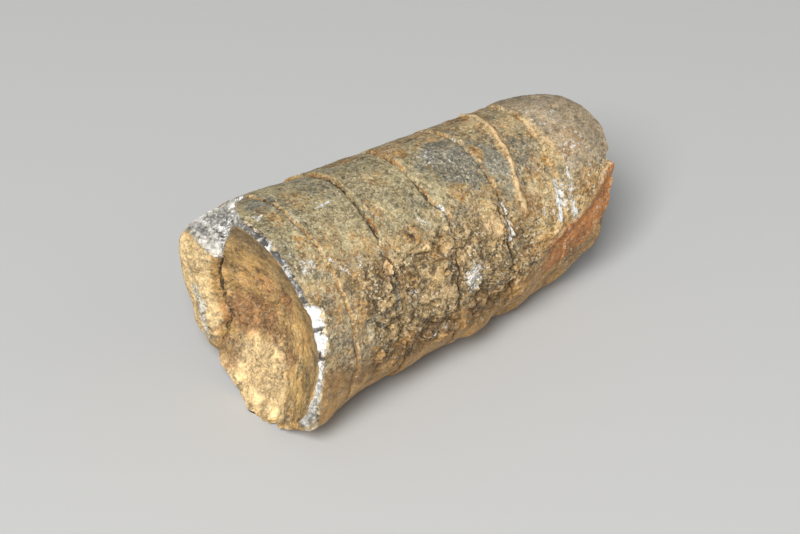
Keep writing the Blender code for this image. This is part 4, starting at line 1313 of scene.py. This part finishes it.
class FossilColourSettings(PropertyGroup):
    """Colours of the stone."""

    tan: colour_property("Tan", "Main colour of the shell", 0.53, 0.395, 0.2)
    ochre_light: colour_property("Light ochre", "Clouds in the tan", 0.42, 0.285, 0.12)
    olive: colour_property("Olive", "Upper side near the hollow end", 0.42, 0.355, 0.195)
    cool: colour_property("Cool", "Greenish grey clouds in the tan", 0.3, 0.275, 0.185)
    cream: colour_property("Cream", "Light clouds in the tan", 0.7, 0.56, 0.34)
    # Grey paints weathered patches and also the painted shade beside the vein
    grey: colour_property("Grey", "Cool weathered patches", 0.2, 0.2, 0.16)
    crust: colour_property("Crust", "Knobbly crust on the flank", 0.48, 0.32, 0.135)
    pale: colour_property("Pale", "Cream skin near the tip", 0.42, 0.325, 0.21)
    # Vein also paints the cream highlights along the suture lips
    vein: colour_property("Vein", "Raised orange-cream vein", 0.82, 0.585, 0.31)
    ochre: colour_property("Ochre", "Orange-brown stains beside the sutures", 0.47, 0.25, 0.07)
    rust: colour_property("Rust", "Rust-red break below the lost flake", 0.5, 0.185, 0.045)
    calcite: colour_property("Calcite", "White crystals", 0.72, 0.7, 0.63)
    bright_calcite: colour_property("Bright calcite", "Cleanest white crystals", 0.86, 0.86, 0.84)
    crystal_grey: colour_property("Grey crystal", "Grey crystals", 0.2, 0.2, 0.19)
    crystal_dark: colour_property("Dark crystal", "Dark grey crystals", 0.055, 0.055, 0.055)
    line: colour_property("Line", "Brown line along each suture", 0.24, 0.115, 0.038)
    # Crack also paints the shade in the suture grooves and along the crack beside the lump
    crack: colour_property("Crack", "Cracks and holes", 0.035, 0.025, 0.015)
    septum: colour_property("Septum", "Rock in the hollow", 0.48, 0.29, 0.1)
    septum_light: colour_property("Light septum", "Clouds in the hollow", 0.56, 0.345, 0.12)
    # Painted shade: the darker rock at the top of the hollow
    septum_painted_shade: colour_property("Dark septum", "Top of the hollow", 0.32, 0.22, 0.1)
    # The lump's own cream; low in the hollow it is partly painted light
    lump: colour_property("Lump", "Cream lump and lower hollow", 0.88, 0.65, 0.33)
    # Partly painted light: the palest rock low in the hollow, where the bowl faces up
    cream_rock_and_painted_light: colour_property("Cream rock", "Palest rock low in the hollow", 1.0, 0.7, 0.34)
    # Painted shade: the brown darkening the lower flank
    brown: colour_property("Brown", "Shaded brown on the lower flank", 0.27, 0.15, 0.052)
    yellow: colour_property("Yellow", "Yellow streak in the hollow", 0.52, 0.37, 0.12)
    red_brown: colour_property("Red brown", "Reddish band in the hollow", 0.46, 0.225, 0.085)


class FossilStageSettings(PropertyGroup):
    """Floor, light and camera."""

    floor_size: FloatProperty(
        name="Floor size", description="Side of the floor", unit="LENGTH", default=3.0, min=0.5,
    )
    floor_colour: colour_property("Floor", "Floor colour", 0.5, 0.5, 0.49)
    key_power: FloatProperty(
        name="Key light", description="Large soft light above the hollow end", unit="POWER",
        default=12.0, min=0.0,
    )
    fill_power: FloatProperty(
        name="Fill light", description="Weak soft light on the flank", unit="POWER",
        default=1.2, min=0.0,
    )
    room_light: FloatProperty(
        name="Room light", description="Even light from all round", default=0.25, min=0.0,
    )
    lens: FloatProperty(
        name="Lens", description="Camera lens on a 36 mm wide sensor, in millimetres",
        default=117.0, min=10.0,
    )


class FOSSIL_OT_stone(Operator):
    """Model the whole stone with its hollow end, rings, crust and breaks"""

    bl_idname = "fossil.stone"
    bl_label = "Stone"

    def execute(self, context):
        scene = context.scene
        bm = plain_bar(scene.fossil_shape.turn_steps)
        face_finishes(bm)
        mesh = bpy.data.meshes.new("fossil_stone")
        bm.to_mesh(mesh)
        bm.free()
        shape_stone(mesh, scene.fossil_shape)
        bm = bmesh.new()
        bm.from_mesh(mesh)
        bmesh.ops.recalc_face_normals(bm, faces=bm.faces[:])
        bm.to_mesh(mesh)
        bm.free()
        for build_group in (clouds_group, stain_group, grit_group, crystal_group):
            build_group()
        for finish in (shell_skin, hollow_rock, broken_calcite, broken_tip):
            mesh.materials.append(finish(scene.fossil_colours))
        mesh.shade_smooth()
        mesh.set_sharp_from_angle(angle=math.radians(SHARP_ANGLE))
        stone = bpy.data.objects.new("fossil_stone", mesh)
        scene.collection.objects.link(stone)
        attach(stone, "root")
        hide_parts(NODE)
        return {"FINISHED"}


# Lights in metres, as (place, side), and the camera in millimetres and degrees
KEY_LIGHT = ((-0.55, -0.39, 0.69), 0.4)
FILL_LIGHT = ((0.45, -0.75, 0.45), 0.7)
LIGHT_AIM = (0.0, 0.0, 0.01)
FLOOR_ROUGHNESS = 0.9
CAMERA_PLACE = (-188.287, -216.680, 222.747)
CAMERA_HEADING = 40.61
CAMERA_DROP = 36.59
CAMERA_ROLL = -0.55
CAMERA_NEAR = 0.01
SENSOR_WIDTH = 36.0


def soft_light(collection, name, place, side, power):
    """A square soft light at a place, turned to the stone."""
    data = bpy.data.lights.new(name, "AREA")
    data.shape = "SQUARE"
    data.size = side
    data.energy = power
    light = bpy.data.objects.new(name, data)
    light.location = place
    light.rotation_euler = (Vector(LIGHT_AIM) - Vector(place)).to_track_quat("-Z", "Y").to_euler()
    collection.objects.link(light)


class FOSSIL_OT_stage(Operator):
    """Lay the pale floor and set the soft lights and the camera"""

    bl_idname = "fossil.stage"
    bl_label = "Stage"

    def execute(self, context):
        scene = context.scene
        stage = scene.fossil_stage
        bm = bmesh.new()
        bmesh.ops.create_grid(bm, x_segments=1, y_segments=1, size=0.5 * stage.floor_size)
        mesh = bpy.data.meshes.new("floor")
        bm.to_mesh(mesh)
        bm.free()
        material, w, shader = new_material("floor_paper")
        w.feed(shader.inputs["Base Color"], stage.floor_colour)
        w.feed(shader.inputs["Roughness"], FLOOR_ROUGHNESS)
        mesh.materials.append(material)
        floor = bpy.data.objects.new("floor", mesh)
        scene.collection.objects.link(floor)

        soft_light(scene.collection, "key_light", *KEY_LIGHT, stage.key_power)
        soft_light(scene.collection, "fill_light", *FILL_LIGHT, stage.fill_power)
        world = bpy.data.worlds.new("studio")
        world.use_nodes = True
        room = world.node_tree.nodes["Background"].inputs
        room["Color"].default_value = (1.0, 1.0, 1.0, 1.0)
        room["Strength"].default_value = stage.room_light
        scene.world = world
        scene.view_settings.view_transform = "Standard"

        camera_data = bpy.data.cameras.new("camera")
        camera_data.lens = stage.lens
        camera_data.sensor_width = SENSOR_WIDTH
        camera_data.clip_start = CAMERA_NEAR
        camera = bpy.data.objects.new("camera", camera_data)
        aim = Matrix.Rotation(math.radians(-CAMERA_HEADING), 4, "Z")
        aim = aim @ Matrix.Rotation(math.radians(90.0 - CAMERA_DROP), 4, "X")
        aim = aim @ Matrix.Rotation(math.radians(CAMERA_ROLL), 4, "Z")
        camera.matrix_world = Matrix.Translation(Vector(CAMERA_PLACE) * MM) @ aim
        scene.collection.objects.link(camera)
        scene.camera = camera
        return {"FINISHED"}


class FOSSIL_PT_panel(Panel):
    """Buttons and settings for the fossil"""

    bl_label = "Orthoceras Fossil"
    bl_idname = "FOSSIL_PT_panel"
    bl_space_type = "VIEW_3D"
    bl_region_type = "UI"
    bl_category = "Fossil"

    def draw(self, context):
        layout = self.layout
        scene = context.scene
        for settings, button in (
            (scene.fossil_shape, "fossil.stone"), (scene.fossil_colours, None),
            (scene.fossil_stage, "fossil.stage"),
        ):
            box = layout.box()
            for name in settings.bl_rna.properties.keys():
                if name not in {"rna_type", "name"}:
                    box.prop(settings, name)
            if button:
                box.operator(button)


CLASSES = (
    FossilShapeSettings, FossilColourSettings, FossilStageSettings, FOSSIL_OT_stone, FOSSIL_OT_stage,
    FOSSIL_PT_panel,
)


def register():
    for cls in CLASSES:
        bpy.utils.register_class(cls)
    bpy.types.Scene.fossil_shape = PointerProperty(type=FossilShapeSettings)
    bpy.types.Scene.fossil_colours = PointerProperty(type=FossilColourSettings)
    bpy.types.Scene.fossil_stage = PointerProperty(type=FossilStageSettings)


def unregister():
    del bpy.types.Scene.fossil_stage
    del bpy.types.Scene.fossil_colours
    del bpy.types.Scene.fossil_shape
    for cls in reversed(CLASSES):
        bpy.utils.unregister_class(cls)


def main():
    register()
    bpy.ops.fossil.stone()
    bpy.ops.fossil.stage()


if __name__ == "__main__":
    main()
